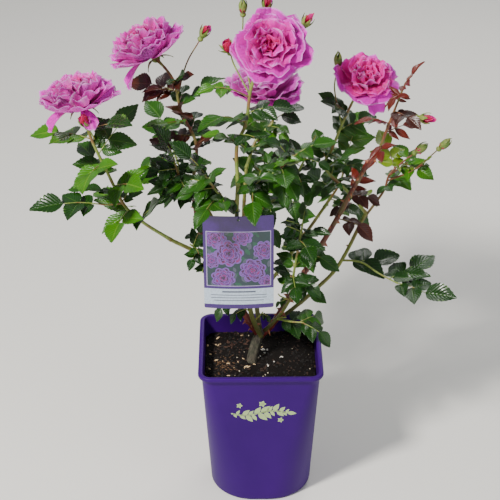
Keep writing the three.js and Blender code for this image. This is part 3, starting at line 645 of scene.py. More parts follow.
def trunk_skin(t, angle):
    """The trunk's radius: root flare, long ridges in the bark and the knobbly fork."""
    plain = (TRUNK["foot"] + (TRUNK["tip"] - TRUNK["foot"]) * t) * MM
    flare = ROOT_FLARE * MM * max(0, 1 - t / FLARE_SHARE) ** 2
    where = Vector((math.cos(angle) * 1.6, math.sin(angle) * 1.6, t * 2.2))
    ridges = 1 - abs(noise.fractal(where * 1.9, 0.8, 2.1, 4))
    knots = noise.noise(where * 1.1 + Vector((4, 0, 0)))
    return plain * (0.9 + 0.14 * ridges + 0.12 * knots) + flare


def bark_finish(name, low, high, patch, roughness, relief, scale, foot=None):
    """Bark with long streaks of two tones, and patches of a third; near the fork it takes the foot's."""
    finish, tree, shader = surface(name, low, roughness)
    where = own_place(tree)
    squeezed = node(tree, "ShaderNodeMapping", Vector=where, Scale=(1, 1, 0.22)).outputs[0]
    streaks = noise_of(tree, squeezed, scale, 5, 0.65)
    tone = ramp_of(tree, streaks, (0.34, low), (0.62, high))
    cover = spread_of(tree, noise_of(tree, where, scale / 9, 2), 0.5, 0.66)
    tone = blend_of(tree, cover, tone, patch)
    if foot:
        height = node(tree, "ShaderNodeSeparateXYZ", Vector=where).outputs[2]
        aged = spread_of(tree, height, AGED_TO, AGED_FROM)
        tone = blend_of(tree, aged, tone, blend_of(tree, streaks, low, foot))
    painted(tree, shader, tone)
    bumped(tree, shader, streaks, relief, 0.0012)
    return finish


def to_metres(path):
    return [np.array(p, float) * MM for p in path]


def make_limbs():
    bark = bark_finish("old_bark", (40, 38, 32), (88, 82, 68), (46, 52, 36), 0.9, 0.8, 420)
    red = bark_finish("red_bark", (64, 22, 20), (116, 48, 34), (92, 80, 40), 0.5, 0.35, 300, (132, 44, 34))
    green = bark_finish(
        "green_bark", (84, 98, 36), (134, 138, 58), (112, 98, 50), 0.5, 0.25, 300, (84, 70, 46)
    )
    heap = Heap()
    heap.add(*tube(to_metres(TRUNK["path"]), trunk_skin, 40, 60))
    heap.piece("woody_trunk", [bark], "bark", ["trunk"])
    made = {}
    for name, finish, slot, chosen in (
        ("red_canes", red, "red_cane", RED_CANES),
        ("green_canes", green, "green_cane", [c for c in CANES if c not in RED_CANES]),
    ):
        heap = Heap()
        for seed, cane in enumerate(chosen):
            points, foot, tip = CANES[cane]
            path = to_metres(points)
            steps = int(curve_length(path) / (3 * MM))
            heap.add(*tube(path, cane_skin(path, foot * MM, tip * MM, seed), 14, steps))
        made[name] = heap.piece(name, [finish], slot, chosen)
    return made


canes = make_limbs()

# Thorns: hooked prickles of the bark, thick on the red canes and few on the green ones. Each is a
# flattened cone with a long foot, bent down the cane, and reddish brown.


def thorn_seed():
    """One thorn, 1 high on a foot of 0.9 by 0.45, its point bent to -X."""
    rings = []
    for t in np.linspace(0, 1, 6):
        shrink = (1 - t) ** 1.25 + 0.02
        rings.append([
            (0.5 * shrink * math.cos(angle) - 0.32 * t * t, 0.24 * shrink * math.sin(angle), t - 0.12)
            for angle in angles(7)
        ])
    points, faces = closed(rings)
    mesh = bpy.data.meshes.new("thorn_seed")
    mesh.from_pydata(points, [], faces)
    thorn = placed("thorn_seed", mesh)
    thorn.hide_render = True
    return thorn


def thorn_tree():
    """Geometry Nodes that set thorns on a cane's skin, pointing out and hooked downwards."""
    tree, given = node_group(
        "set_thorns", Thorn="Object", Density="Float", Seed="Int", Spacing="Float", Smallest="Float",
        Largest="Float", Finish="Material",
    )
    points = node(
        tree, "GeometryNodeDistributePointsOnFaces", distribute_method="POISSON", Mesh=given["Geometry"],
        Seed=given["Seed"], Distance_Min=given["Spacing"], Density_Max=given["Density"],
    )
    outward = node(
        tree, "FunctionNodeAlignRotationToVector", axis="Z", Vector=points.outputs["Normal"]
    )
    hooked = node(
        tree, "FunctionNodeAlignRotationToVector", axis="X", pivot_axis="Z",
        Rotation=outward, Vector=(0.0, 0.0, 1.0),
    )
    return set_on_points(tree, given, points, "Thorn", hooked)


def make_thorns():
    finish, tree, shader = surface("thorn", (138, 58, 44), 0.45)
    tint = ramp_of(tree, noise_of(tree, None, 240), (0.35, (120, 44, 38)), (0.65, (170, 110, 70)))
    painted(tree, shader, tint)
    seed_thorn = thorn_seed()
    rule = thorn_tree()
    for name, base, density, spacing, sizes, seed in (
        ("red_cane_thorns", canes["red_canes"], 12000, 9 * MM, (5 * MM, 9 * MM), 5),
        ("green_cane_thorns", canes["green_canes"], 2500, 18 * MM, (3 * MM, 6 * MM), 8),
    ):
        mesh = grown_mesh(name, base, rule, {
            "Thorn": seed_thorn, "Density": density, "Seed": seed, "Spacing": spacing,
            "Smallest": sizes[0], "Largest": sizes[1], "Finish": finish,
        })
        mesh.shade_smooth()
        as_piece(name, mesh)
    bpy.data.objects.remove(seed_thorn)


make_thorns()

# Foliage: each cane carries on as one leafy stem or more. Leaves stand round a stem by a seeded rule,
# each a stalk with toothed leaflets, and a leaf that would leave its stem's own space is left out.


def stem(path, thick, thin, leaves, leaf, turn, seed, tone, droop=0.38, tip="leaf", twigs=(), **more):
    """A leafy stem: its path, radii, number of leaves and leaflet length, and its rule's turn and seed."""
    return dict(
        path=path, thick=thick, thin=thin, leaves=leaves, leaf=leaf, turn=turn, seed=seed, tone=tone,
        droop=droop, tip=None if "bloom" in more else tip, twigs=twigs, **more,
    )


def twig(at, path, bud=None, leaf=None):
    """A side twig from share at of its stem, with a bud in some state or a leaf of some length."""
    return dict(at=at, path=path, bud=bud, leaf=leaf)


# Each stem of the solids, and in bloom the flower's middle, axis and width; then its side twigs
MASSES = {
    "left_bloom_foliage": stem(
        [[-127, -35, 436], [-164, -45, 469], [-189, -52, 500], [-208, -58, 550], [-229, -64, 610],
         [-236, -63, 642]], 2.5, 1.7, 11, 44, 320, 66, "mid", 0.15, first=0.22,
        bloom=([-242, -62, 674], [-0.15, 0.1, 1], 104),
        twigs=[twig(0.9, [[-222, -84, 618], [-228, -92, 636]], "showing"),
               twig(0.42, [[-212, -60, 506], [-229, -64, 510]], leaf=48)],
    ),
    "left_low_foliage": stem(
        [[-84, -21, 402], [-91, -29, 417], [-100, -34, 428]], 1.8, 1.2, 3, 27, 90, 11, "dark", between=True,
    ),
    "left_dark_foliage": stem(
        [[-97, 38, 472], [-110, 20, 494], [-120, 8, 535]], 2.2, 1.4, 8, 42, 280, 41, "dark", 0.15,
        between=True,
    ),
    "upper_left_foliage": stem(
        [[-98, 40, 482], [-91, 58, 541], [-112, 76, 585], [-122, 86, 629], [-140, 89, 656]],
        2.6, 1.7, 8, 38, 160, 36, "bronzed", 0.15, between=True,
        bloom=([-155, 88, 681], [-0.45, 0.1, 0.9], 104),
        twigs=[twig(0.62, [[-103, 88, 655], [-84, 92, 688]], "showing")],
    ),
    "main_bloom_foliage": stem(
        [[-31, -44, 526], [-32, -40, 583], [-19, -34, 617], [-12, -26, 665], [3, -19, 697]],
        2.8, 1.9, 7, 44, 220, 66, "fresh", last=0.6, bloom=([15, -24, 725], [0.05, -0.75, 0.7], 104),
        twigs=[twig(0.7, [[-34, -8, 690], [-39, -12, 708]], "opening"),
               twig(0.74, [[-22, 22, 705], [-22, 16, 752]], "green"),
               twig(0.8, [[0, 26, 712], [8, 22, 754]], "showing"),
               twig(0.84, [[38, 24, 694], [58, 30, 726]], "showing"),
               twig(0.68, [[-30, -36, 664], [-40, -40, 670]], leaf=28)],
    ),
    "back_bloom_foliage": stem(
        [[-19, 84, 491], [-4, 100, 529], [20, 111, 552], [16, 114, 574]],
        2.4, 1.7, 6, 40, 200, 106, "mid", 0.15, between=True, bloom=([9, 114, 600], [0, -0.1, 1], 102),
    ),
    "centre_left_foliage": stem(
        [[-33, -43, 500], [-54, -58, 516], [-76, -62, 552]], 1.9, 1.3, 7, 38, 160, 76, "mid", 0.15,
        between=True,
    ),
    "centre_right_foliage": stem(
        [[-31, -44, 514], [-4, -62, 540], [22, -72, 562], [46, -74, 586]], 2, 1.3, 9, 42, 120, 51, "fresh",
        between=True,
    ),
    "middle_right_foliage": stem(
        [[-23, 62, 415], [20, 48, 455], [56, 38, 508], [80, 34, 566]], 2.1, 1.3, 9, 42, 260, 16, "dark",
        between=True,
    ),
    "card_side_foliage": stem(
        [[45, -22, 330], [48, -46, 386], [54, -60, 440], [60, -58, 478]], 2.1, 1.3, 10, 40, 340, 96, "dark",
        between=True,
    ),
    "rim_foliage": stem(
        [[24, -6, 285], [44, -26, 292], [64, -36, 296]], 1.6, 1.1, 2, 30, 340, 66, "dark", 0.8
    ),
    "bronze_foliage": stem(
        [[108, -5, 446], [122, 6, 462], [134, 14, 490]], 1.7, 1.1, 4, 34, 300, 101, "bronze"
    ),
    "right_bloom_foliage": stem(
        [[158, 60, 427], [132, 66, 458], [97, 70, 497], [107, 66, 532], [122, 61, 578], [138, 60, 616]],
        2.4, 1.6, 7, 38, 40, 81, "mid", 0.15, between=True, bloom=([152, 54, 646], [0.15, -0.4, 0.9], 86),
        twigs=[twig(0.76, [[108, 70, 620], [111, 72, 650]], "green")],
    ),
    "right_bud_foliage": stem(
        [[152, 57, 415], [184, 78, 452], [193, 85, 477], [210, 92, 492], [228, 98, 504]],
        2, 1.1, 6, 36, 100, 66, "young", tip="bud",
        twigs=[twig(0.4, [[226, 70, 492], [259, 62, 528]], "green")],
    ),
    "right_red_foliage": stem(
        [[165, -20, 562], [174, -28, 600], [184, -34, 636], [194, -37, 668]], 2.4, 1.1, 6, 27, 240, 66, "red",
        twigs=[twig(0.55, [[200, -38, 626], [211, -43, 627]], "showing")],
    ),
    "low_right_foliage": stem(
        [[122, 42, 357], [151, 30, 360], [176, 14, 350], [204, 0, 340]], 1.7, 1.1, 2, 48, 340, 81, "dark",
        -0.3,
    ),
    "back_left_foliage": stem(
        [[-90, 120, 430], [-118, 156, 452], [-134, 178, 492]], 2.3, 1.3, 5, 44, 90, 53, "mid", between=True,
    ),
    "back_right_foliage": stem(
        [[100, 130, 400], [126, 164, 426], [138, 186, 466]], 2.3, 1.3, 5, 44, 20, 59, "mid", between=True,
    ),
    "back_middle_foliage": stem(
        [[8, 130, 415], [12, 168, 436], [6, 196, 470]], 2.2, 1.3, 6, 44, 240, 67, "mid", tip="bud",
        between=True,
    ),
}

# Small shoots too slight for the solids, by the same rule: low on the canes and among the right buds
SHOOTS = {
    "left_foot_shoot": stem(
        [[-33, 10, 306], [-40, 2, 314], [-46, -4, 318]], 1.2, 0.9, 0, 22, 0, 101, "dark", 1.2
    ),
    "front_foot_shoot": stem(
        [[-13, -8, 296], [-18, -16, 306], [-24, -20, 312]], 1.2, 0.9, 0, 18, 0, 103, "dark", 1.2
    ),
    "fork_shoot": stem([[-9, -4, 280], [0, -14, 296], [4, -18, 304]], 1.2, 0.9, 0, 17, 0, 107, "dark", 1.4),
    "rim_shoot": stem([[20, -2, 281], [32, -18, 294], [38, -26, 299]], 1.2, 0.9, 0, 22, 0, 109, "fresh", 1.0),
    "low_cane_shoot": stem(
        [[43, -20, 326], [30, -34, 340], [26, -40, 348]], 1.2, 0.9, 1, 22, 180, 113, "dark", 0.8
    ),
    "left_cane_shoot": stem(
        [[-62, -15, 370], [-80, -30, 392], [-90, -40, 402]], 1.4, 0.9, 3, 24, 120, 52, "dark", 0.0, tip=None
    ),
    "bud_shoot": stem(
        [[192, 84, 476], [206, 76, 492], [212, 72, 500]], 1.1, 0.7, 3, 13, 60, 131, "young", 0.2
    ),
    "side_bud_shoot": stem(
        [[226, 70, 492], [234, 64, 500], [240, 60, 510]], 1.0, 0.7, 1, 11, 20, 137, "young", 0.2
    ),
}

LEAF_SPREAD = math.radians(64)
LEAF_TURN = 144
LEAFLET_SPREAD = math.radians(62)
LEAFLET_WIDE = 0.72
LEAFLET_SUNK = 0.4
LEAFLET_WIDEST = 0.45
PAIR_AT, PAIR_SHIFT, PAIR_SIZE = 0.55, 0.02, 0.86
FIRST_LEAF, LAST_LEAF, LAST_UNDER_BLOOM = 0.12, 0.93, 0.86
SIZE_RANGE, BETWEEN_RANGE = (0.86, 1.14), (0.6, 0.8)
BETWEEN_START, BETWEEN_TURN = 72, 137
TURN_RANGE, ROLL_RANGE = 40, 1.2
DROOP_RANGE = (0.4, 1.6)
STALK_SAG, PAIR_SAG = 0.6, 0.3
SMALLER = (1, 0.82, 0.66)
TIP_STALK_SUNK = 4
SPACE_MARGIN, LIMB_MARGIN, BLOOM_CLEAR, POT_MARGIN, CARD_MARGIN = 1.4, 3.5, 2, 12, 9
CARD_ABOVE = 16
CARD_MIDDLE, CARD_WIDTH, CARD_HEIGHT = (-31, -60, 411), 100, 150
UP = np.array([0.0, 0.0, 1.0])
LIGHT = np.array([-0.35, -0.7, 0.62])
LIGHT_TURN = 0.5
LEAFLET_TESTS = [(-0.2, 0), (0.3, 0), (1, 0), (0, 1), (0, -1), (0.5, 0.5), (0.5, -0.5)]


def seeded(seed):
    """A repeatable run of numbers from 0 to 1."""
    state = seed * 7919 + 17
    while True:
        state = state * 16807 % 2147483647
        yield state / 2147483647


def as_line(path):
    return np.array([on_curve(path, i / 12) for i in range(13)])


def distance_to(points, line):
    """How far each point lies from a line of points."""
    start, end = line[:-1][None], line[1:][None]
    run = end - start
    share = ((points[:, None] - start) * run).sum(2) / (run * run).sum(2)
    nearest = start + run * np.clip(share, 0, 1)[..., None]
    return np.linalg.norm(points[:, None] - nearest, axis=2).min(1)


STEMS = {**MASSES, **SHOOTS}
for mass in STEMS.values():
    mass["points"] = list(np.array(mass["path"], float))
    mass["line"] = as_line(mass["points"])
    for side in mass["twigs"]:
        side["points"] = [on_curve(mass["points"], side["at"]), *np.array(side["path"], float)]
LIMB_LINES = [
    (as_line(np.array(path, float)), foot)
    for path, foot, _ in ((TRUNK["path"], TRUNK["foot"], 0), *CANES.values())
]
BLOOM_BALLS = [(np.array(m["bloom"][0], float), m["bloom"][2] / 2) for m in MASSES.values() if "bloom" in m]


def in_own_space(mass, points):
    """Whether points stay nearer to their own stem than to any other, and clear of all else."""
    points = np.array(points)
    own = distance_to(points, mass["line"])
    for other in MASSES.values():
        if other is not mass and (distance_to(points, other["line"]) <= own + SPACE_MARGIN).any():
            return False
    if any((distance_to(points, line) <= radius + LIMB_MARGIN).any() for line, radius in LIMB_LINES):
        return False
    for middle, ball in BLOOM_BALLS:
        if (np.linalg.norm(points - middle, axis=1) <= ball + BLOOM_CLEAR).any():
            return False
    if (points[:, 2] <= POT_HEIGHT / MM + POT_MARGIN).any():
        return False
    near_card = (
        (np.abs(points[:, 0] - CARD_MIDDLE[0]) <= CARD_WIDTH / 2 + CARD_MARGIN)
        & (points[:, 1] <= CARD_MIDDLE[1] + CARD_MARGIN)
        & (CARD_MIDDLE[2] - points[:, 2] <= CARD_HEIGHT / 2 + CARD_MARGIN)
        & (points[:, 2] - CARD_MIDDLE[2] <= CARD_HEIGHT / 2 + CARD_ABOVE)
    )
    return not near_card.any()


def leaflet_tests(leaflet):
    root, along, across, length = leaflet
    places = []
    for x, y in LEAFLET_TESTS:
        share = (x + 1) * LEAFLET_WIDEST if x < 0 else LEAFLET_WIDEST + x * (1 - LEAFLET_WIDEST)
        places.append(root + along * share * length + across * y * length * LEAFLET_WIDE / 2)
    return places


def lit_leaflet(root, along, across, length):
    """A leaflet turned about its own length, so that its face comes nearer to the light."""
    lit = unit(LIGHT - along * (LIGHT @ along))
    face = unit(np.cross(along, across) * (1 - LIGHT_TURN) + lit * LIGHT_TURN)
    return root, along, np.cross(face, along), length


def side_leaflet(leaf, hand, at, share_of_size):
    """The leaflet that stands on one side of a leaf's stalk at a share of its length."""
    sag, side, size, droop = leaf["sag"], leaf["side"], leaf["size"], leaf["droop"]
    along = unit(
        sag * math.cos(LEAFLET_SPREAD) + side * hand * math.sin(LEAFLET_SPREAD) - UP * PAIR_SAG * droop
    )
    across = unit(np.cross(np.cross(sag, side), along))
    joint = leaf["root"] + (leaf["end"] - leaf["root"]) * at - along * LEAFLET_SUNK
    return lit_leaflet(joint, along, across, size * share_of_size)


def turned(v, axis, angle):
    return (
        v * math.cos(angle) + np.cross(axis, v) * math.sin(angle) + axis * (axis @ v) * (1 - math.cos(angle))
    )


def grow_leaf(root, heading, size, droop, roll):
    """A leaf's stalk and its pair and end leaflets, as the part's solid has them."""
    sag = unit(heading - UP * STALK_SAG * droop)
    side = turned(unit(np.cross(UP, sag)), sag, roll)
    leaf = dict(root=root, end=root + sag * size, sag=sag, side=side, size=size, droop=droop)
    leaflets = [side_leaflet(leaf, hand, PAIR_AT + PAIR_SHIFT * hand, PAIR_SIZE) for hand in (1, -1)]
    along = unit(sag - UP * droop)
    across = unit(side - along * (side @ along))
    leaflets.append(lit_leaflet(leaf["end"] - along * 2 * LEAFLET_SUNK, along, across, size))
    leaf["leaflets"] = leaflets
    return leaf


def fit_leaf(mass, root, heading, size, droop, roll):
    best = None
    for share in SMALLER:
        leaf = grow_leaf(root, heading, size * share, droop, roll)
        if not in_own_space(mass, [leaf["end"]]):
            continue
        kept = [x for x in leaf["leaflets"] if in_own_space(mass, leaflet_tests(x))]
        if len(kept) == len(leaf["leaflets"]):
            return leaf
        if len(kept) >= 2 and (best is None or len(kept) > len(best["leaflets"])):
            best = dict(leaf, leaflets=kept)
    return best


def drawn_leaf(mass, draw, t, bearing, sizes):
    """The leaf at share t of a stem, turned near a bearing in degrees, its size and hang drawn."""
    bearing = math.radians(bearing + TURN_RANGE * (next(draw) - 0.5))
    size = mass["leaf"] * (sizes[0] + (sizes[1] - sizes[0]) * next(draw))
    droop = mass["droop"] * (DROOP_RANGE[0] + (DROOP_RANGE[1] - DROOP_RANGE[0]) * next(draw))
    roll = ROLL_RANGE * (next(draw) - 0.5)
    ahead = unit(on_curve(mass["points"], t + 0.01) - on_curve(mass["points"], t - 0.01))
    outward = np.array([math.cos(bearing), math.sin(bearing), 0.0])
    outward = unit(outward - ahead * (outward @ ahead))
    heading = unit(ahead * math.cos(LEAF_SPREAD) + outward * math.sin(LEAF_SPREAD))
    return fit_leaf(mass, on_curve(mass["points"], t), heading, size, droop, roll)


def grow_mass(mass):
    """All the leaves of one stem, by its seed."""
    draw = seeded(mass["seed"])
    leaves = []
    count, turn = mass["leaves"], mass["turn"]
    first = mass.get("first", FIRST_LEAF)
    last = mass.get("last", LAST_UNDER_BLOOM if "bloom" in mass else LAST_LEAF)
    for k in range(count):
        t = first + (last - first) * ((k + next(draw) / 2) / (count - 0.5))
        leaves.append(drawn_leaf(mass, draw, t, turn + LEAF_TURN * k, SIZE_RANGE))
    tips = [(side["points"], side["leaf"]) for side in mass["twigs"] if side["leaf"]]
    if mass["tip"] == "leaf":
        tips.append((mass["points"], mass["leaf"]))
    for points, size in tips:
        end = on_curve(points, 1)
        ahead = unit(end - on_curve(points, 0.98))
        leaves.append(fit_leaf(mass, end - ahead * TIP_STALK_SUNK, ahead, size, mass["droop"], 0))
    if mass.get("between"):
        # Smaller leaves between those of the solid, from a seed of their own
        draw = seeded(mass["seed"] + 100)
        for k in range(count):
            t = FIRST_LEAF + (LAST_UNDER_BLOOM - FIRST_LEAF) * (k + next(draw)) / count
            bearing = turn + BETWEEN_START + BETWEEN_TURN * k
            leaves.append(drawn_leaf(mass, draw, t, bearing, BETWEEN_RANGE))
    return [leaf for leaf in leaves if leaf]


for mass in STEMS.values():
    mass["grown"] = grow_mass(mass)

# Leaflets: ovate blades with toothed edges, folded along the midrib and bent back at the tip, dark and
# glossy above and paler below. Young ones are yellow-green, and the newest are bronze or red.

TEETH = 9
LEAFLET_ROWS = 2 * TEETH + 1
TONES = ("dark", "mid", "fresh", "young", "bronze", "red")
BRONZE, RED = TONES.index("bronze"), TONES.index("red")
UNDER = len(TONES)
LEAF_TILES = len(TONES) + 2
TONE_MIX = {
    "dark": ("dark", "dark", "dark", "mid"),
    "mid": ("mid", "dark", "mid", "fresh"),
    "fresh": ("fresh", "mid", "dark", "mid", "mid", "fresh", "young", "dark"),
    "young": ("young", "mid", "fresh", "young"),
    "bronzed": ("mid", "bronze", "dark", "bronze", "fresh"),
    "bronze": ("bronze", "bronze", "mid", "red"),
    "red": ("red", "bronze", "red"),
}


def tile_place(u, v, tile, tiles):
    """The place in a piece's UV map of share u, v of one finish's own tile."""
    return (tile + 0.06 + 0.88 * u) / tiles, 0.03 + 0.94 * v


def tile_shares(tree, tile, tiles):
    """Shares u and v across a finish's own tile, as two outputs."""
    where = node(tree, "ShaderNodeUVMap", uv_map="OFBake").outputs[0]
    spread = node(
        tree, "ShaderNodeMapping", Vector=where, Scale=(tiles / 0.88, 1 / 0.94, 1),
        Location=(-(tile + 0.06) / 0.88, -0.03 / 0.94, 0),
    )
    parts = node(tree, "ShaderNodeSeparateXYZ", Vector=spread.outputs[0])
    return parts.outputs[0], parts.outputs[1], spread.outputs[0]


def leaf_finish(name, tile, colour, vein, roughness, relief):
    """A leaf's skin: a pale midrib, side veins that run forward, and the blade raised between them."""
    finish, tree, shader = surface(name, colour, roughness, Specular_IOR_Level=0.42)
    u, v, _ = tile_shares(tree, tile, LEAF_TILES)
    off = maths(tree, "ABSOLUTE", maths(tree, "SUBTRACT", u, 0.5))
    run = maths(tree, "SUBTRACT", maths(tree, "MULTIPLY", v, 8.0), maths(tree, "MULTIPLY", off, 6.0))
    wave = maths(tree, "PINGPONG", run, 0.5)
    midrib = spread_of(tree, off, 0.012, 0.045, 1.0, 0.0)
    veins = maths(tree, "MAXIMUM", spread_of(tree, wave, 0.0, 0.09, 0.4, 0.0), midrib)
    mottled = noise_of(tree, None, 55, 3)
    blade = ramp_of(tree, mottled, (0.35, linear(colour, 0.72)), (0.65, colour))
    painted(tree, shader, blend_of(tree, maths(tree, "MULTIPLY", veins, 0.5), blade, vein))
    swell = maths(tree, "SUBTRACT", maths(tree, "MULTIPLY", wave, 2.0), midrib)
    bumped(tree, shader, swell, relief, 0.0009)
    return finish


# Each finish: its colour, its veins' colour, roughness and relief
LEAF_FINISHES = [
    leaf_finish(name, tile, *look) for tile, (name, *look) in enumerate((
        ("dark_leaf", (19, 58, 6), (58, 96, 28), 0.27, 0.45),
        ("mid_leaf", (34, 82, 6), (82, 124, 34), 0.28, 0.45),
        ("fresh_leaf", (58, 114, 6), (112, 150, 42), 0.3, 0.45),
        ("young_leaf", (118, 152, 14), (164, 184, 62), 0.34, 0.4),
        ("bronze_leaf", (64, 22, 12), (100, 56, 34), 0.3, 0.4),
        ("red_leaf", (98, 24, 10), (130, 62, 38), 0.32, 0.4),
        ("leaf_back", (78, 120, 36), (124, 152, 74), 0.55, 0.6),
        ("bronze_back", (96, 46, 28), (126, 84, 54), 0.55, 0.6),
    ))
]


def sheet_faces(rows, columns, flip=False):
    faces = [
        (r * columns + c, r * columns + c + 1, (r + 1) * columns + c + 1, (r + 1) * columns + c)
        for r in range(rows - 1)
        for c in range(columns - 1)
    ]
    return [face[::-1] for face in faces] if flip else faces


LEAF_THICK = 0.35
RED_NARROW = 0.62
LOW_PAIR_AT, LOW_PAIR_SHIFT, LOW_PAIR_SIZE = 0.2, 0.03, 0.62
LEAF_TOP_FACES = sheet_faces(LEAFLET_ROWS, 5, flip=True)
LEAF_BACK_FACES = sheet_faces(LEAFLET_ROWS, 5)


def add_leaflet(heap, leaflet, tone, draw, narrow=1.0):
    """One toothed blade: its face, and its back a hair's breadth below it."""
    root, along, across, length = leaflet
    normal = np.cross(along, across)
    fold = 0.1 + 0.34 * next(draw)
    arch = 0.04 + 0.2 * next(draw)
    sway = 0.1 * (next(draw) - 0.5)
    wave, phase = 0.01 + 0.02 * next(draw), 6.3 * next(draw)
    wide = length * LEAFLET_WIDE * narrow * (0.86 + 0.16 * next(draw)) / 2
    v = np.linspace(0, 1, LEAFLET_ROWS)
    body = np.sin(np.pi * v**0.78) ** 0.85 * (1 - 0.25 * v**3)
    tooth = np.where(np.arange(LEAFLET_ROWS) % 2 == 1, 1.035, 0.95)
    lean = np.where(np.arange(LEAFLET_ROWS) % 2 == 1, 0.02, 0.0)
    for back in (0, 1):
        points, places = [], []
        for u in (-1, -0.5, 0, 0.5, 1):
            edge = abs(u) == 1
            half = wide * body * (tooth if edge else 1.0) * u
            x = (v + (lean if edge else 0)) * length
            z = fold * np.abs(half) - arch * length * v**2
            z += wave * length * np.sin(9 * v + phase) * abs(u) * u
            z -= back * (0 if edge else LEAF_THICK)
            y = half + sway * length * v**2
            points.append(root + x[:, None] * along + y[:, None] * across + z[:, None] * normal)
            tile = (UNDER + (1 if tone >= BRONZE else 0)) if back else tone
            places.append([tile_place((u + 1) / 2, share, tile, LEAF_TILES) for share in v])
        grid = np.array(points).transpose(1, 0, 2).reshape(-1, 3) * MM
        spots = np.array(places).transpose(1, 0, 2).reshape(-1, 2)
        heap.add(grid, LEAF_BACK_FACES if back else LEAF_TOP_FACES, tile, spots)


def make_leaves():
    back = ["back_left_foliage", "back_right_foliage", "back_middle_foliage"]
    bronze = ["bronze_foliage", "right_red_foliage"]
    right = ["right_bloom_foliage", "right_bud_foliage", "low_right_foliage", "bud_shoot", "side_bud_shoot"]
    left = [
        "left_bloom_foliage", "left_low_foliage", "left_dark_foliage", "upper_left_foliage",
        "left_foot_shoot", "left_cane_shoot",
    ]
    middle = [name for name in STEMS if name not in left + right + bronze + back]
    for name, members in (
        ("left_leaves", left), ("middle_leaves", middle), ("right_leaves", right),
        ("bronze_leaves", bronze), ("back_leaves", back),
    ):
        heap = Heap()
        for member in members:
            mass = STEMS[member]
            draw = seeded(mass["seed"] + 500)
            mixes = TONE_MIX[mass["tone"]]
            for leaf in mass["grown"]:
                tone = TONES.index(mixes[int(next(draw) * len(mixes))])
                narrow = RED_NARROW if tone == RED else 1.0
                for leaflet in leaf["leaflets"]:
                    add_leaflet(heap, leaflet, tone, draw, narrow)
                for hand in (1, -1):
                    at = LOW_PAIR_AT + LOW_PAIR_SHIFT * hand
                    small = side_leaflet(leaf, hand, at, LOW_PAIR_SIZE)
                    if in_own_space(mass, leaflet_tests(small)):
                        add_leaflet(heap, small, tone, draw, narrow)
        slot = "bronze_leaf" if name == "bronze_leaves" else "leaf"
        heap.piece(name, LEAF_FINISHES, slot, [member for member in members if member in MASSES])


make_leaves()

# Twigs: the living stems that carry the leaves, the leaf stalks and the bare stalks of buds. They are
# round and ringed by leaf scars, green on most shoots and red on the youngest.


def taper(foot, tip):
    return lambda t, angle: foot + (tip - foot) * t


def make_twigs():
    green = bark_finish("green_twig", (96, 120, 44), (142, 156, 70), (132, 96, 56), 0.45, 0.2, 380)
    red = bark_finish("red_twig", (88, 44, 30), (132, 80, 48), (106, 102, 48), 0.45, 0.2, 380)
    heap = Heap()
    for mass in STEMS.values():
        reddish = 1 if mass["tone"] in ("bronzed", "bronze", "red", "young") else 0
        path = [p * MM for p in mass["points"]]
        if "bloom" in mass:
            middle, axis, width = mass["bloom"]
            seat = np.array(middle, float) - unit(np.array(axis, float)) * width * 0.2
            path.append(seat * MM)
        thick, thin = mass["thick"] * MM, mass["thin"] * MM
        rings = int(curve_length(path) / (4 * MM)) + 2
        heap.add(*tube(path, cane_skin(path, thick, thin, mass["seed"]), 10, rings), reddish)
        for side in mass["twigs"]:
            path = [p * MM for p in side["points"]]
            heap.add(*tube(path, taper(1.25 * MM, 0.9 * MM), 8, 16), reddish)
        for leaf in mass["grown"]:
            droop = np.cross(leaf["side"], leaf["sag"]) * leaf["size"] * 0.04
            middle = (leaf["root"] + leaf["end"]) / 2 - droop
            path = [leaf["root"] * MM, middle * MM, leaf["end"] * MM]
            heap.add(*tube(path, taper(0.95 * MM, 0.5 * MM), 6, 8), reddish)
    heap.piece("green_twigs", [green, red], "green_cane")


make_twigs()

# Blooms: full double roses of thirty to fifty ruffled petals in tiers round a short cup. Outer petals
# are wide and turn back, inner ones stand and fold. Petals pale from a magenta foot to a lilac rim,
# whose thin pale edge is partly the petal's own and partly painted highlight.

PETAL_ROWS, PETAL_COLUMNS = 13, 15
PETAL_FACES = sheet_faces(PETAL_ROWS, PETAL_COLUMNS, flip=True)
PETAL_BACKS = sheet_faces(PETAL_ROWS, PETAL_COLUMNS)
OUTER, MIDDLE, CORE, PALE, DEEP, BUD = range(6)
PETAL_TILES = 6


def petal_finish(name, tile, foot, body, rim, roughness=0.5):
    """A petal's skin: colours in order from its foot to its rim, with fine streaks along it."""
    finish, tree, shader = surface(
        name, body, roughness, Subsurface_Weight=0.6, Subsurface_Radius=(0.006, 0.0025, 0.005),
        Subsurface_Scale=1.0, Sheen_Weight=0.08, Specular_IOR_Level=0.25,
    )
    _, v, spread = tile_shares(tree, tile, PETAL_TILES)
    # The last stop paints a thin pale band at the rim: partly the petal's paler edge, partly painted
    # highlight where light catches it.
    tone = ramp_of(tree, v, (0.0, foot), (0.5, body), (0.94, body), (0.985, rim))
    drawn = node(tree, "ShaderNodeMapping", Vector=spread, Scale=(26, 1.4, 1)).outputs[0]
    streaks = noise_of(tree, drawn, 1.0, 3)
    share = spread_of(tree, streaks, 0.45, 0.8, 0.0, 0.5)
    painted(tree, shader, blend_of(tree, share, tone, linear(body, 0.7)))
    bumped(tree, shader, streaks, 0.3, 0.0006)
    return finish


